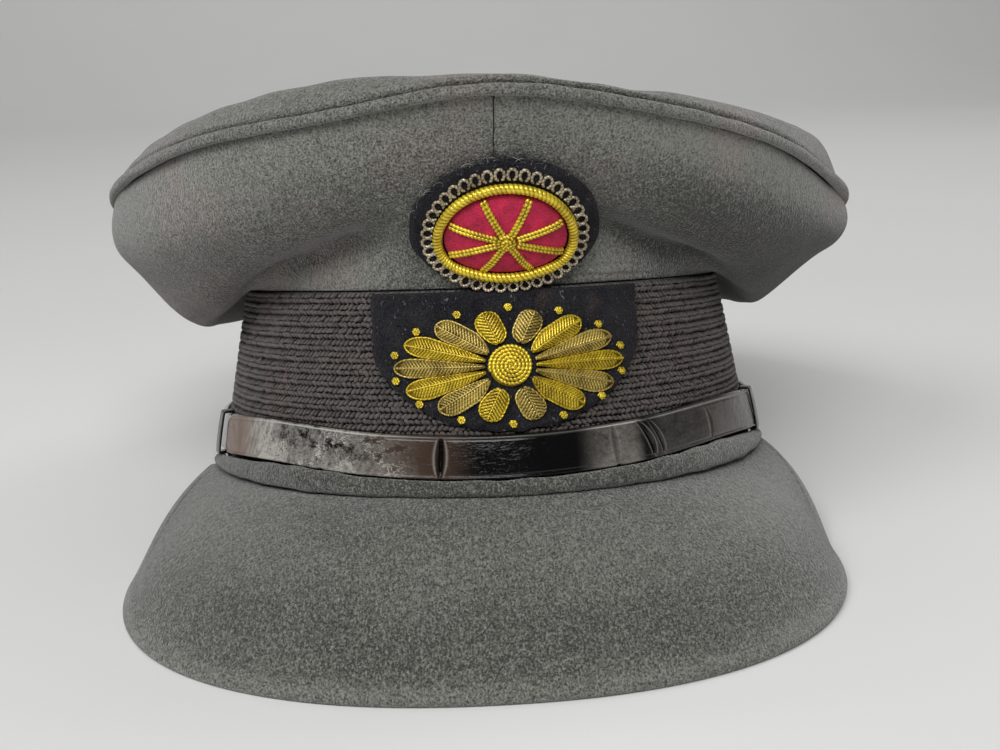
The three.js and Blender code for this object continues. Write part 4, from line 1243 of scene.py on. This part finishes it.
def strap(name, free_end, button_end, layer, node):
    """A strap along the band: a flat section with rounded, slightly raised edges and a line pressed in
    beside each, its free end rounded in plan. Creases cross the outer one, which has two nicks. Its
    marks are the direction along it, the place across it, the creases' painted shade and highlights,
    and a painted glint along the raised edge."""
    length = abs(button_end - free_end)
    angle = np.linspace(free_end, button_end, 441 if layer else 221)
    if layer:
        close = CREASES["at"][:, None] + np.linspace(-2.6, 2.6, 43)
        angle = np.sort(np.concatenate([angle, close.ravel()]))
    angle = angle[:, None]
    share = (angle - free_end) / (button_end - free_end)
    rounding = np.minimum(share, 1 - share) * length / 1.6
    half = STRAP_WIDTH / 2 * mix(0.62, 1, np.sqrt(np.clip(rounding, 0, 1)))
    face = np.linspace(-1, 1, 45)[None, :]
    inner_edge = np.abs(face)
    relief = STRAP_BEAD * bell(inner_edge, 0.9, 0.05) - STRAP_LINE_DEPTH * bell(inner_edge, 0.83, 0.032)
    relief = relief - STRAP_EDGE_FALL * smooth_step(0.93, 1, inner_edge) ** 2
    relief = relief + STRAP_WAVE * ripple(61 + layer, angle / 26, face / 5, waves=9)
    pressed, slit = strap_creases(angle, face) if layer else (0.0, 0.0)
    nick = layer * (0.35 * bell(angle, 20.8, 0.5) + 0.3 * bell(angle, -34, 0.5)) * (face < -0.9)
    near = strap_off(angle, layer)
    height = strap_height(angle)
    front = band_point(angle, height + face * (half - nick), near + STRAP_THICKNESS + relief - pressed)
    back = band_point(angle, height + np.linspace(1, -1, 7)[None, :] * half, near)

    def on_front(values):
        """The values on the strap's face and 0 on its back."""
        return np.concatenate([np.broadcast_to(values, front.shape[:2]), np.zeros(back.shape[:2])], 1)

    return strip(
        np.concatenate([front, back], 1),
        along=angle * layer,
        # Marks for the creases' painted shade and highlights, and for the painted glint along the raised
        # edge.
        crease=on_front(slit),
        bead=on_front(bell(face, 0.91, 0.03) * layer),
        across=on_front(face),
    ).finish(name, patent, "patent_leather", node)


def keeper(name, angle, first, last, node):
    """A leather loop round the straps: a rounded rectangle whose section has two ridges."""
    half_turn = math.degrees(KEEPER_WIDTH / 2 / (BAND_WIDTH / 2))
    near = strap_off(angle, first) - GAP
    far = strap_off(angle, last) + STRAP_THICKNESS + GAP
    middle, deep = (near + far) / 2, (far - near) / 2
    half = STRAP_WIDTH / 2 + GAP
    turn = circle(96)[:, None]
    cos, sin = np.cos(turn), np.sin(turn)
    corner = 0.5
    off = np.sign(cos) * (deep - corner) + corner * cos
    climb = np.sign(sin) * (half - corner) + corner * sin
    flat = np.clip(sin * 1.6, -1, 1)
    climb = np.where(np.abs(cos) > 0.35, flat * (half - corner) + corner * sin, climb)
    across = np.linspace(-1, 1, 15)[None, :]
    ridge = KEEPER_WALL * (0.72 + 0.28 * np.cos(across * np.pi * 2) ** 2) * (1 - across**8 * 0.7)
    out_off = off + ridge * cos
    out_climb = climb + ridge * sin
    side = np.concatenate([across, [[1, -1]]], 1) * half_turn
    offs = np.concatenate([out_off, off, off], 1)
    climbs = np.concatenate([out_climb, climb, climb], 1)
    rows = band_point(angle + side, strap_height(angle) + climbs, middle + offs)
    return hoop(rows, along=0.0, across=1.0).finish(name, patent, "patent_leather", node)


def button(name, angle, layer, node):
    """A domed button turned about its shank: a plain dome in a roped rim."""
    height = strap_height(angle)
    foot = band_point(angle, height, GAP)
    away = square_to(band_point, np.array(float(angle)), np.array(height), 0.5, 0.5)
    away = away * (1 if away[0] * foot[0] > 0 else -1)
    across = unit(np.cross(away, [0, 0, 1]))
    up = np.cross(across, away)
    neck = strap_off(angle, layer) + STRAP_THICKNESS
    outline = [(0.02, 0.0), (SHANK_RADIUS, 0.0), (SHANK_RADIUS, neck), (BUTTON_RADIUS * 0.86, neck)]
    rope = np.radians(np.linspace(-110, 150, 12))
    rim = np.stack([BUTTON_RADIUS * 0.92 + 0.5 * np.cos(rope), neck + 0.62 + 0.55 * np.sin(rope)], -1)
    out = np.linspace(1, 0.01, 16)
    rise = (BUTTON_DOME - 0.75) * np.sqrt(1 - out**2.4)
    dome = np.stack([BUTTON_RADIUS * 0.84 * out, neck + 0.75 + rise], -1)
    profile = np.concatenate([outline, rim, dome])
    turn = circle(72)
    radius = profile[:, :1] + np.zeros((1, len(turn)))
    radius[len(outline):-len(dome)] += 0.09 * np.cos(turn * 24 + rope[:, None] * 1.5)
    rows = rings_along(foot + away * profile[:, 1:], across[None], up[None], radius, turn)
    body = cushion(foot, rows, foot + away * (neck + BUTTON_DOME))
    return body.finish(name, gilt, "gilt", node)


def front_field():
    """The cap's front as depth y over x across and z up, on a grid: the band below its top edge, and
    above it the crown, found for each x and z by halving t and correcting the direction."""
    x = np.arange(FIELD_LEFT, FIELD_RIGHT + FIELD_STEP / 2, FIELD_STEP)[None, :]
    z = np.arange(FIELD_FOOT, FIELD_TOP + FIELD_STEP / 2, FIELD_STEP)[:, None]
    half_width = mix(BAND_WIDTH, BAND_TOP_WIDTH, z / BAND_HEIGHT) / 2
    below = band_point(np.degrees(np.arcsin(x / half_width)), z)[..., 1]
    angle = np.degrees(np.arcsin(x / (BAND_TOP_WIDTH / 2))) + 0 * z
    for _ in range(5):
        low, high = np.zeros_like(angle), np.ones_like(angle)
        for _ in range(14):
            t = (low + high) / 2
            under = crown_point(angle, t)[..., 2] < z
            low, high = np.where(under, t, low), np.where(under, high, t)
        point = crown_point(angle, t)
        angle = angle + np.degrees((x - point[..., 0]) / CROWN_FRONT_REACH)
    above = point[..., 1] - CROWN_INSET * smooth_step(BAND_HEIGHT + 8, BAND_HEIGHT, z)
    return np.where(z <= BAND_HEIGHT, below, above)


FRONT = front_field()


def front_depth(x, z):
    """The grid's depth at x and z, by blending the four nearest values."""
    column = np.clip((x - FIELD_LEFT) / FIELD_STEP, 0, FRONT.shape[1] - 1.001)
    row = np.clip((z - FIELD_FOOT) / FIELD_STEP, 0, FRONT.shape[0] - 1.001)
    i, j = row.astype(int), column.astype(int)
    a, b = row - i, column - j
    low = FRONT[i, j] * (1 - b) + FRONT[i, j + 1] * b
    high = FRONT[i + 1, j] * (1 - b) + FRONT[i + 1, j + 1] * b
    return low * (1 - a) + high * a


def front_point(x, z, off):
    """A point off the cap's front, square to it."""
    x, z, off = np.broadcast_arrays(np.asarray(x, float), z, off)
    step = 1.5
    slope_x = (front_depth(x + step, z) - front_depth(x - step, z)) / (2 * step)
    slope_z = (front_depth(x, z + step) - front_depth(x, z - step)) / (2 * step)
    away = unit(np.stack([slope_x, -np.ones_like(x), slope_z], -1))
    return np.stack([x, front_depth(x, z), z], -1) + away * off[..., None]


COCKADE_X, COCKADE_Z = BADGE_SHIFT, BAND_HEIGHT + 0.32 * CROWN_RISE
ROSETTE_X, ROSETTE_Z = BADGE_SHIFT, 0.6 * BAND_HEIGHT
ON_FELT = BADGE_GAP + FELT + GAP
VELVET_WIDTH = COCKADE_WIDTH - 4 * CORD_RADIUS - 2 * GAP
VELVET_HEIGHT = COCKADE_HEIGHT - 4 * CORD_RADIUS - 2 * GAP


def pad(x, z, outline_x, outline_z, rings, base, crest, body=None, **marks):
    """A padded shape on the badge: rings that are shares of the outline, flat at the back, and in front
    as high as crest(share)."""
    out = np.asarray(rings, float)[:, None]
    back = front_point(x + out * outline_x, z + out * outline_z, base)
    out = out[::-1]
    front = front_point(x + out * outline_x, z + out * outline_z, base + crest(out))
    first = front_point(x, z, base)
    last = front_point(x, z, base + crest(np.zeros((1, 1)))[0, 0])
    return cushion(first, np.concatenate([back, front]), last, body, **marks)


def upper_felt():
    """The oval felt behind the cockade, with an edge cut a little unevenly."""
    top = COCKADE_Z + COCKADE_HEIGHT / 2 + 0.7 * FELT_MARGIN
    foot = BAND_HEIGHT - GAP
    turn = circle(240)[None, :]
    uneven = 1 + 0.012 * ripple(71, turn / 0.5, waves=9)
    outline_x = (COCKADE_WIDTH / 2 + FELT_MARGIN) * np.cos(turn) * uneven
    outline_z = (top - foot) / 2 * np.sin(turn) * uneven
    rings = np.concatenate([np.linspace(0.1, 0.94, 18), [0.965, 0.985, 0.996, 1.0]])
    body = pad(
        BADGE_SHIFT, (top + foot) / 2, outline_x, outline_z, rings, BADGE_GAP,
        lambda s: FELT * (1 - 0.55 * smooth_step(0.94, 1, s) ** 2),
    )
    return body.finish("felt_upper", felt, "felt", "badge_felt_upper")


def lower_felt():
    """The shield of felt behind the rosette: upright bars from side to side, with rounded edges."""
    half_width = ROSETTE_WIDTH / 2 + FELT_MARGIN
    top = BAND_HEIGHT - 2 * GAP
    foot = STRAP_FRONT_HEIGHT + STRAP_WIDTH / 2 + 2 * GAP
    shoulder = mix(foot, top, 0.6)
    across = -np.cos(np.linspace(0, np.pi, 121))[:, None]
    low = shoulder - (shoulder - foot) * (1 - np.abs(across) ** 2.2) ** 0.62
    low = low + 0.25 * ripple(73, across * 6, waves=9)
    share = np.sin(np.linspace(-np.pi / 2, np.pi / 2, 41))[None, :] / 2 + 0.5
    x = BADGE_SHIFT + half_width * (across + 0.006 * ripple(74, share * 5))
    z = mix(low, top, share)
    edge = np.minimum((1 - np.abs(across)) * half_width, 3)
    edge = np.minimum(np.minimum(edge, z - low), top - z)
    raised = FELT * (1 - 0.5 * (1 - smooth_step(0, 1.0, edge)))
    front = front_point(x, z, BADGE_GAP + raised)
    back = front_point(x, z, BADGE_GAP)[:, ::-1]
    return strip(np.concatenate([front, back], 1)).finish("felt_lower", felt, "felt", "badge_felt_lower")


def velvet_crest(share):
    """Height of the velvet over its felt, half an ellipse over a low wall."""
    return 0.6 + COCKADE_DOME * np.sqrt(np.maximum(1 - share * share, 0))


def velvet_pad():
    """The crimson dome, pulled in a little under each rib."""
    turn = circle(160)[None, :]
    rings = np.sin(np.linspace(0.06, np.pi / 2, 24))
    outline_x, outline_z = VELVET_WIDTH / 2 * np.cos(turn), VELVET_HEIGHT / 2 * np.sin(turn)
    pull = 0.125 * np.cos(RIB_COUNT * turn) ** 2
    body = pad(
        COCKADE_X, COCKADE_Z, outline_x, outline_z, rings, ON_FELT,
        lambda s: velvet_crest(s) - pull * s**2,
    )
    return body.finish("velvet_pad", velvet, "velvet", "cockade_velvet")


def tubes(body, paths, normals, radius, sides=8, turns=0.0, ridge=0.0, tone=0.5):
    """Adds closed tubes along paths of shape (tubes, sections, 3). The radius has a ridge that winds
    round each tube, turns times along its length, and the tube's tone is darker between its turns."""
    count, sections = paths.shape[:2]
    tangent = unit(np.gradient(paths, axis=1))
    side = unit(np.cross(tangent, normals))
    up = np.cross(side, tangent)
    turn = circle(sides)
    share = np.linspace(0, 1, sections)[:, None]
    winding = np.cos(turns * 2 * np.pi * share + turn)
    taper = np.sqrt(np.clip(np.minimum(share, 1 - share) * sections / 1.2, 0.12, 1))
    points = rings_along(paths, side, up, radius * (1 + ridge * winding) * taper, turn)
    ends = np.stack([np.arange(sides)[::-1], np.arange(sides) + (sections - 1) * sides])
    size = sections * sides
    return body.add(
        points,
        repeat_faces(skin(sections, sides), count, size),
        repeat_faces(ends, count, size),
        shade=tone + 0.32 * winding,
    )


def front_paths(x, z, off):
    """Paths on the badge with the directions square to the front along them."""
    points = front_point(x, z, off)
    return points, unit(front_point(x, z, off + 1.0) - points)


def cockade_cord():
    """The cord round the velvet: a core wound closely with wire that slants across it, closed on itself."""
    turn = circle(960)
    x = COCKADE_X + (COCKADE_WIDTH / 2 - CORD_RADIUS) * np.cos(turn)
    z = COCKADE_Z + (COCKADE_HEIGHT / 2 - CORD_RADIUS) * np.sin(turn)
    centre, away = front_paths(x, z, ON_FELT + CORD_RADIUS)
    tangent = unit(np.roll(centre, -1, 0) - np.roll(centre, 1, 0))
    side = unit(np.cross(tangent, away))
    around_it = circle(16)[None, :]
    wire = np.abs(np.cos(around_it + turn[:, None] * CORD_WINDS / 2)) ** 0.7
    rows = rings_along(centre, side, away, CORD_RADIUS * (0.84 + 0.18 * wire), around_it)
    return hoop(rows, shade=0.1 + 0.62 * wire).finish("cord_wire", bright, "gold_thread", "cockade_cord")


def purl_edge():
    """Small coiled loops standing side by side on the felt, all round the cord."""
    centre_turn = (np.arange(PURL_COUNT) + 0.5) / PURL_COUNT * 2 * np.pi
    out_x, out_z = (COCKADE_WIDTH + PURL_HEIGHT) / 2, (COCKADE_HEIGHT + PURL_HEIGHT) / 2
    x = COCKADE_X + out_x * np.cos(centre_turn)[:, None]
    z = COCKADE_Z + out_z * np.sin(centre_turn)[:, None]
    loop = np.linspace(-0.42 * np.pi, 1.42 * np.pi, 22)[None, :]
    radial = unit(np.stack([np.cos(centre_turn) / out_x, np.sin(centre_turn) / out_z], -1))
    run, climb = PURL_WIDTH / 2 * np.cos(loop), PURL_HEIGHT / 2 * np.sin(loop)
    path_x = x + radial[:, 1:] * run + radial[:, :1] * climb
    path_z = z - radial[:, :1] * run + radial[:, 1:] * climb
    paths, away = front_paths(path_x, path_z, ON_FELT + 0.1)
    body = tubes(Body(), paths, away, PURL_WIRE, sides=7, turns=9.0, ridge=0.16, tone=0.35)
    return body.finish("purl_loops", pale, "gold_thread")


def cockade_rib(index):
    """One rib: two coiled wires side by side from the knot to the cord, over the velvet."""
    turn = (index + 1.5) / RIB_COUNT * 2 * np.pi
    share = np.linspace(0.16, 0.985, 46)[None, :]
    tip_x, tip_z = VELVET_WIDTH / 2 * math.cos(turn), VELVET_HEIGHT / 2 * math.sin(turn)
    across = np.array([-tip_z, tip_x]) / math.hypot(tip_x, tip_z)
    side = np.array([-RIB_WIRE_ASIDE, RIB_WIRE_ASIDE])[:, None]
    x = COCKADE_X + share * tip_x + side * across[0]
    z = COCKADE_Z + share * tip_z + side * across[1]
    paths, away = front_paths(x, z, ON_FELT + velvet_crest(share) + 0.32)
    turns = math.hypot(tip_x, tip_z) * 0.83 / 0.95
    body = tubes(Body(), paths, away, RIB_WIRE, sides=8, turns=turns, ridge=0.15, tone=0.5)
    return body.finish(f"rib_wire_{index + 1}", bright, "gold_thread", f"cockade_rib_{index + 1}")


def spiral_dome(name, x, z, radius, base, dome, wire, finish, slot, node):
    """A dome covered by one coiled wire that winds out from its middle."""
    turn = circle(48)[None, :]
    rings = np.sin(np.linspace(0.1, np.pi / 2, 10))
    body = Body()
    grow = radius - wire

    def crest(s):
        return dome * (1 - 0.72 * s * s) - wire * 1.2

    pad(x, z, grow * np.cos(turn), grow * np.sin(turn), rings, base, crest, body, shade=0.1)
    loops = grow / (2 * wire)
    along = np.sqrt(np.linspace(0.004, 1, int(90 * loops)))[None, :]
    wind = along * loops * 2 * np.pi
    path_x = x + grow * along * np.cos(wind)
    path_z = z + grow * along * np.sin(wind)
    paths, away = front_paths(path_x, path_z, base + crest(along) + wire * 0.6)
    length = math.pi * grow * loops
    tubes(body, paths, away, wire, sides=8, turns=length / (wire * 2.1), ridge=0.17, tone=0.6)
    return body.finish(name, finish, slot, node)


def petal(index):
    """One petal: a padded leaf under two rows of coiled wires that meet in its middle and slant
    outwards, with a wire along its middle and its edge. Each side reaches half way to its neighbour."""
    turns = (index + np.array([0, 1, 2])) / PETAL_COUNT * 2 * np.pi
    tips = np.stack([ROSETTE_WIDTH / 2 * np.cos(turns), ROSETTE_HEIGHT / 2 * np.sin(turns)], -1)
    tip = tips[1]
    lengths = np.linalg.norm(tips, axis=-1)
    before, after = [
        math.acos(np.dot(tip, other) / lengths[1] / size) / 2 for other, size in zip(tips[::2], lengths[::2])
    ]
    start = BOSS_RADIUS + 2 * GAP
    middle = (start + lengths[1]) / 2
    half = lengths[1] - middle
    direction = tip / lengths[1]
    across = np.array([-direction[1], direction[0]])

    def spread(out, side):
        """Half width at a distance from the petal's middle: a wedge cut to a blunt leaf."""
        share = np.clip(out / half, -1, 1)
        wedge = (middle + out) * np.tan(np.where(side < 0, before, after)) - GAP
        return np.minimum(wedge, PETAL_HALF_WIDTH) * (1 - share**4) ** 0.6

    def at(out, aside):
        x = ROSETTE_X + direction[0] * (middle + out) + across[0] * aside
        return x, ROSETTE_Z + direction[1] * (middle + out) + across[1] * aside

    def crest(s):
        return PETAL_RELIEF * (1 - 0.6 * s * s) - 0.3

    turn = circle(64)[None, :]
    out = half * np.cos(turn)
    aside = np.sign(np.sin(turn)) * spread(out, np.sin(turn))
    centre_x, centre_z = at(0.0, 0.0)
    outline_x, outline_z = at(out, aside)
    outline_x, outline_z = outline_x - centre_x, outline_z - centre_z
    body = Body()
    rings = (0.3, 0.6, 0.85, 1.0)
    pad(centre_x, centre_z, outline_x, outline_z, rings, ON_FELT, crest, body, shade=0.05)
    count = max(int(half * math.sin(PETAL_WIRE_LEAN) / PETAL_WIRE), 6)
    begin = np.linspace(-half * 0.97, half * 0.9, count)
    for side in (-1, 1):
        share = np.linspace(0, 1, 12)[None, :]
        reach = np.maximum(spread(begin + 0.2 * half, side)[:, None], 0.25)
        path_out = np.minimum(begin[:, None] + share * reach / math.tan(PETAL_WIRE_LEAN), half * 0.995)
        aside = share * np.minimum(reach, spread(path_out, side) + 0.1)
        lifted = PETAL_RELIEF * (1 - 0.6 * (0.98 * share) ** 2)
        x, z = at(path_out, side * aside)
        paths, away = front_paths(x, z, ON_FELT - 0.05 + lifted)
        tubes(body, paths, away, PETAL_WIRE, sides=6, turns=4.0, ridge=0.12, tone=0.45 + 0.1 * side)
    x, z = at(np.linspace(-0.98, 0.98, 60)[None, :] * half, 0.0)
    paths, away = front_paths(x, z, ON_FELT + PETAL_RELIEF + 0.25)
    tubes(body, paths, away, SPINE_WIRE, sides=6, turns=half * 2 / 0.8, ridge=0.18, tone=0.4)
    turn = np.linspace(-np.pi, np.pi, 97)[None, :] * 0.97
    out = half * np.cos(turn)
    x, z = at(out, np.sign(np.sin(turn)) * spread(out, np.sin(turn)))
    paths, away = front_paths(x, z, ON_FELT + 0.35 * PETAL_RELIEF)
    tubes(body, paths, away, EDGE_WIRE, sides=6, turns=half * 4 / 0.8, ridge=0.18, tone=0.5)
    finish = bright if index % 2 else antique
    return body.finish(f"petal_wire_{index + 1}", finish, "gold_thread", f"rosette_petal_{index + 1}")


def petal_knots():
    """Small coiled knots on the felt, one between each two petal tips."""
    body = Body()
    for index in range(PETAL_COUNT):
        turn = (index + 0.5) / PETAL_COUNT * 2 * np.pi
        x = ROSETTE_X + (ROSETTE_WIDTH / 2 + 0.6) * math.cos(turn)
        z = ROSETTE_Z + (ROSETTE_HEIGHT / 2 + 1.0) * math.sin(turn)
        wind = np.linspace(0.12, 1, 60)[None, :]
        path_x = x + KNOT_RADIUS * wind * np.cos(wind * 5 * np.pi)
        path_z = z + KNOT_RADIUS * wind * np.sin(wind * 5 * np.pi)
        paths, away = front_paths(path_x, path_z, ON_FELT + 0.1 + 0.7 * (1 - wind**2))
        tubes(body, paths, away, KNOT_WIRE, sides=6, turns=14.0, ridge=0.18, tone=0.5)
    return body.finish("petal_knots", bright, "gold_thread")


def loose_threads():
    """Fine threads that have come loose along the top of the felts."""
    draw = np.random.default_rng(91)
    top = COCKADE_Z + COCKADE_HEIGHT / 2 + 0.7 * FELT_MARGIN
    share = np.linspace(0, 1, 12)[None, :]
    turn = draw.uniform(0.25 * np.pi, 0.9 * np.pi, (THREAD_COUNT, 1))
    out_x = COCKADE_WIDTH / 2 + FELT_MARGIN
    out_z = (top - BAND_HEIGHT) / 2
    x = BADGE_SHIFT + out_x * np.cos(turn) * 0.985
    z = (top + BAND_HEIGHT) / 2 + out_z * np.sin(turn) * 0.985
    length = draw.uniform(1.2, 4.2, (THREAD_COUNT, 1))
    lean = draw.uniform(-1.4, 1.4, (THREAD_COUNT, 1)) + turn
    bend = draw.uniform(-2, 2, (THREAD_COUNT, 1))
    path_x = x + length * share * np.cos(lean + bend * share)
    path_z = z + length * share * np.sin(lean + bend * share)
    paths, away = front_paths(path_x, path_z, BADGE_GAP + FELT * 0.7 + 0.4 * share * length / 4)
    body = tubes(Body(), paths, away, THREAD_RADIUS, sides=4, tone=0.5)
    return body.finish("felt_threads", lint, "felt")


def photograph_camera():
    """The camera that took the photograph, worked out from the cap's outlines."""
    azimuth, elevation, roll = np.radians([VIEW_AZIMUTH, VIEW_ELEVATION, VIEW_ROLL])
    right = np.array([math.cos(azimuth), math.sin(azimuth), 0])
    back = np.array([math.sin(azimuth), -math.cos(azimuth), 0]) * math.cos(elevation)
    back[2] = math.sin(elevation)
    up = np.cross(back, right)
    turned_right = math.cos(roll) * right + math.sin(roll) * up
    turned_up = math.cos(roll) * up - math.sin(roll) * right
    target = VIEW_TARGET_X * right + np.array([0, 0, VIEW_TARGET_Z])
    data = bpy.data.cameras.new("camera")
    data.sensor_width = SENSOR
    data.lens = FOCAL_PIXELS / FRAME_PIXELS * SENSOR
    data.clip_start = 0.01
    camera = add_object("camera", data)
    axes = turned(np.stack([turned_right, turned_up, back]))
    matrix = Matrix([*axes]).transposed().to_4x4()
    matrix.translation = Vector(placed(target + VIEW_DISTANCE * back))
    camera.matrix_world = matrix
    bpy.context.scene.camera = camera


def lamp(name, at, size, power, aim):
    """A rectangular lamp at a place, turned towards the point that it is aimed at."""
    data = bpy.data.lights.new(name, "AREA")
    data.shape = "RECTANGLE"
    data.size, data.size_y = size
    data.energy = power
    made = add_object(name, data)
    made.location = at
    made.rotation_mode = "QUATERNION"
    made.rotation_quaternion = (Vector(aim) - Vector(at)).to_track_quat("-Z", "Y")


def studio():
    """A pale floor that curves up behind by a quarter circle, soft lamps, and an even sky."""
    sweep = np.linspace(0, 1, 24)
    turn = np.clip(sweep * 2 - 0.6, 0, 1) * np.pi / 2
    flat = mix(FLOOR_NEAR, FLOOR_FAR, np.minimum(sweep / 0.3, 1))
    y = np.where(turn > 0, FLOOR_FAR + FLOOR_CURVE * np.sin(turn), flat)
    z = np.where(turn > 0, FLOOR_CURVE * (1 - np.cos(turn)), 0)
    y = np.append(y, y[-1])
    z = np.append(z, FLOOR_TOP)
    sides = (-FLOOR_HALF_WIDTH, FLOOR_HALF_WIDTH)
    rows = np.stack([np.stack([np.full_like(y, x), y, z], -1) for x in sides])
    mesh = bpy.data.meshes.new("floor")
    count = len(y)
    k = np.arange(count - 1)
    faces = np.stack([k, k + 1, k + 1 + count, k + count], -1)[:, ::-1]
    mesh.from_pydata(rows.reshape(-1, 3).tolist(), [], faces.tolist())
    mesh.polygons.foreach_set("use_smooth", np.ones(len(faces), bool))
    finish = Finish("pale_paper", roughness=0.9)
    mesh.materials.append(finish.surface(finish.blend(finish.noise(0.2, 2.0), PAPER_DARK, PAPER_LIGHT)))
    floor = add_object("floor", mesh)
    for name, at, size, power, aim in LAMPS:
        lamp(name, at, size, power, aim)
    world = bpy.data.worlds.new("sky")
    world.use_nodes = True
    sky = world.node_tree.nodes["Background"].inputs
    sky["Color"].default_value = (1, 1, 1, 1)
    sky["Strength"].default_value = SKY_STRENGTH
    bpy.context.scene.world = world
    bpy.context.scene.view_settings.view_transform = "Standard"


photograph_camera()
side_crown(-1, "side_crown_left_cloth")
side_crown(1, "side_crown_right_cloth")
welt()
top_panel()
peak()
piping()
band_base()
braid_half(-1, "braid_stitches_left")
braid_half(1, "braid_stitches_right")
strap(
    "strap_inner", STRAP_END_ANGLE + STRAP_TAIL_ANGLE, -BUTTON_ANGLE - STRAP_TAIL_ANGLE, 0,
    "chin_strap_inner",
)
strap("strap_outer", -STRAP_END_ANGLE, BUTTON_ANGLE + STRAP_TAIL_ANGLE, 1, "chin_strap_outer")
keeper("keeper_left_loop", -STRAP_END_ANGLE - STRAP_TAIL_ANGLE, 0, 1, "keeper_left")
keeper("keeper_right_loop", STRAP_END_ANGLE + STRAP_TAIL_ANGLE / 2, 0, 1, "keeper_right")
button("button_left_turned", -BUTTON_ANGLE, 0, "button_left")
button("button_right_turned", BUTTON_ANGLE, 1, "button_right")
upper_felt()
lower_felt()
loose_threads()
velvet_pad()
cockade_cord()
purl_edge()
for number in range(RIB_COUNT):
    cockade_rib(number)
on_velvet = ON_FELT + float(velvet_crest(0.0))
spiral_dome(
    "knot_wire", COCKADE_X, COCKADE_Z, HUB_RADIUS, on_velvet, HUB_DOME, HUB_WIRE,
    bright, "gilt", "cockade_knot",
)
spiral_dome(
    "boss_wire", ROSETTE_X, ROSETTE_Z, BOSS_RADIUS, ON_FELT, BOSS_DOME, BOSS_WIRE,
    bright, "gilt", "rosette_boss",
)
for number in range(PETAL_COUNT):
    petal(number)
petal_knots()
studio()
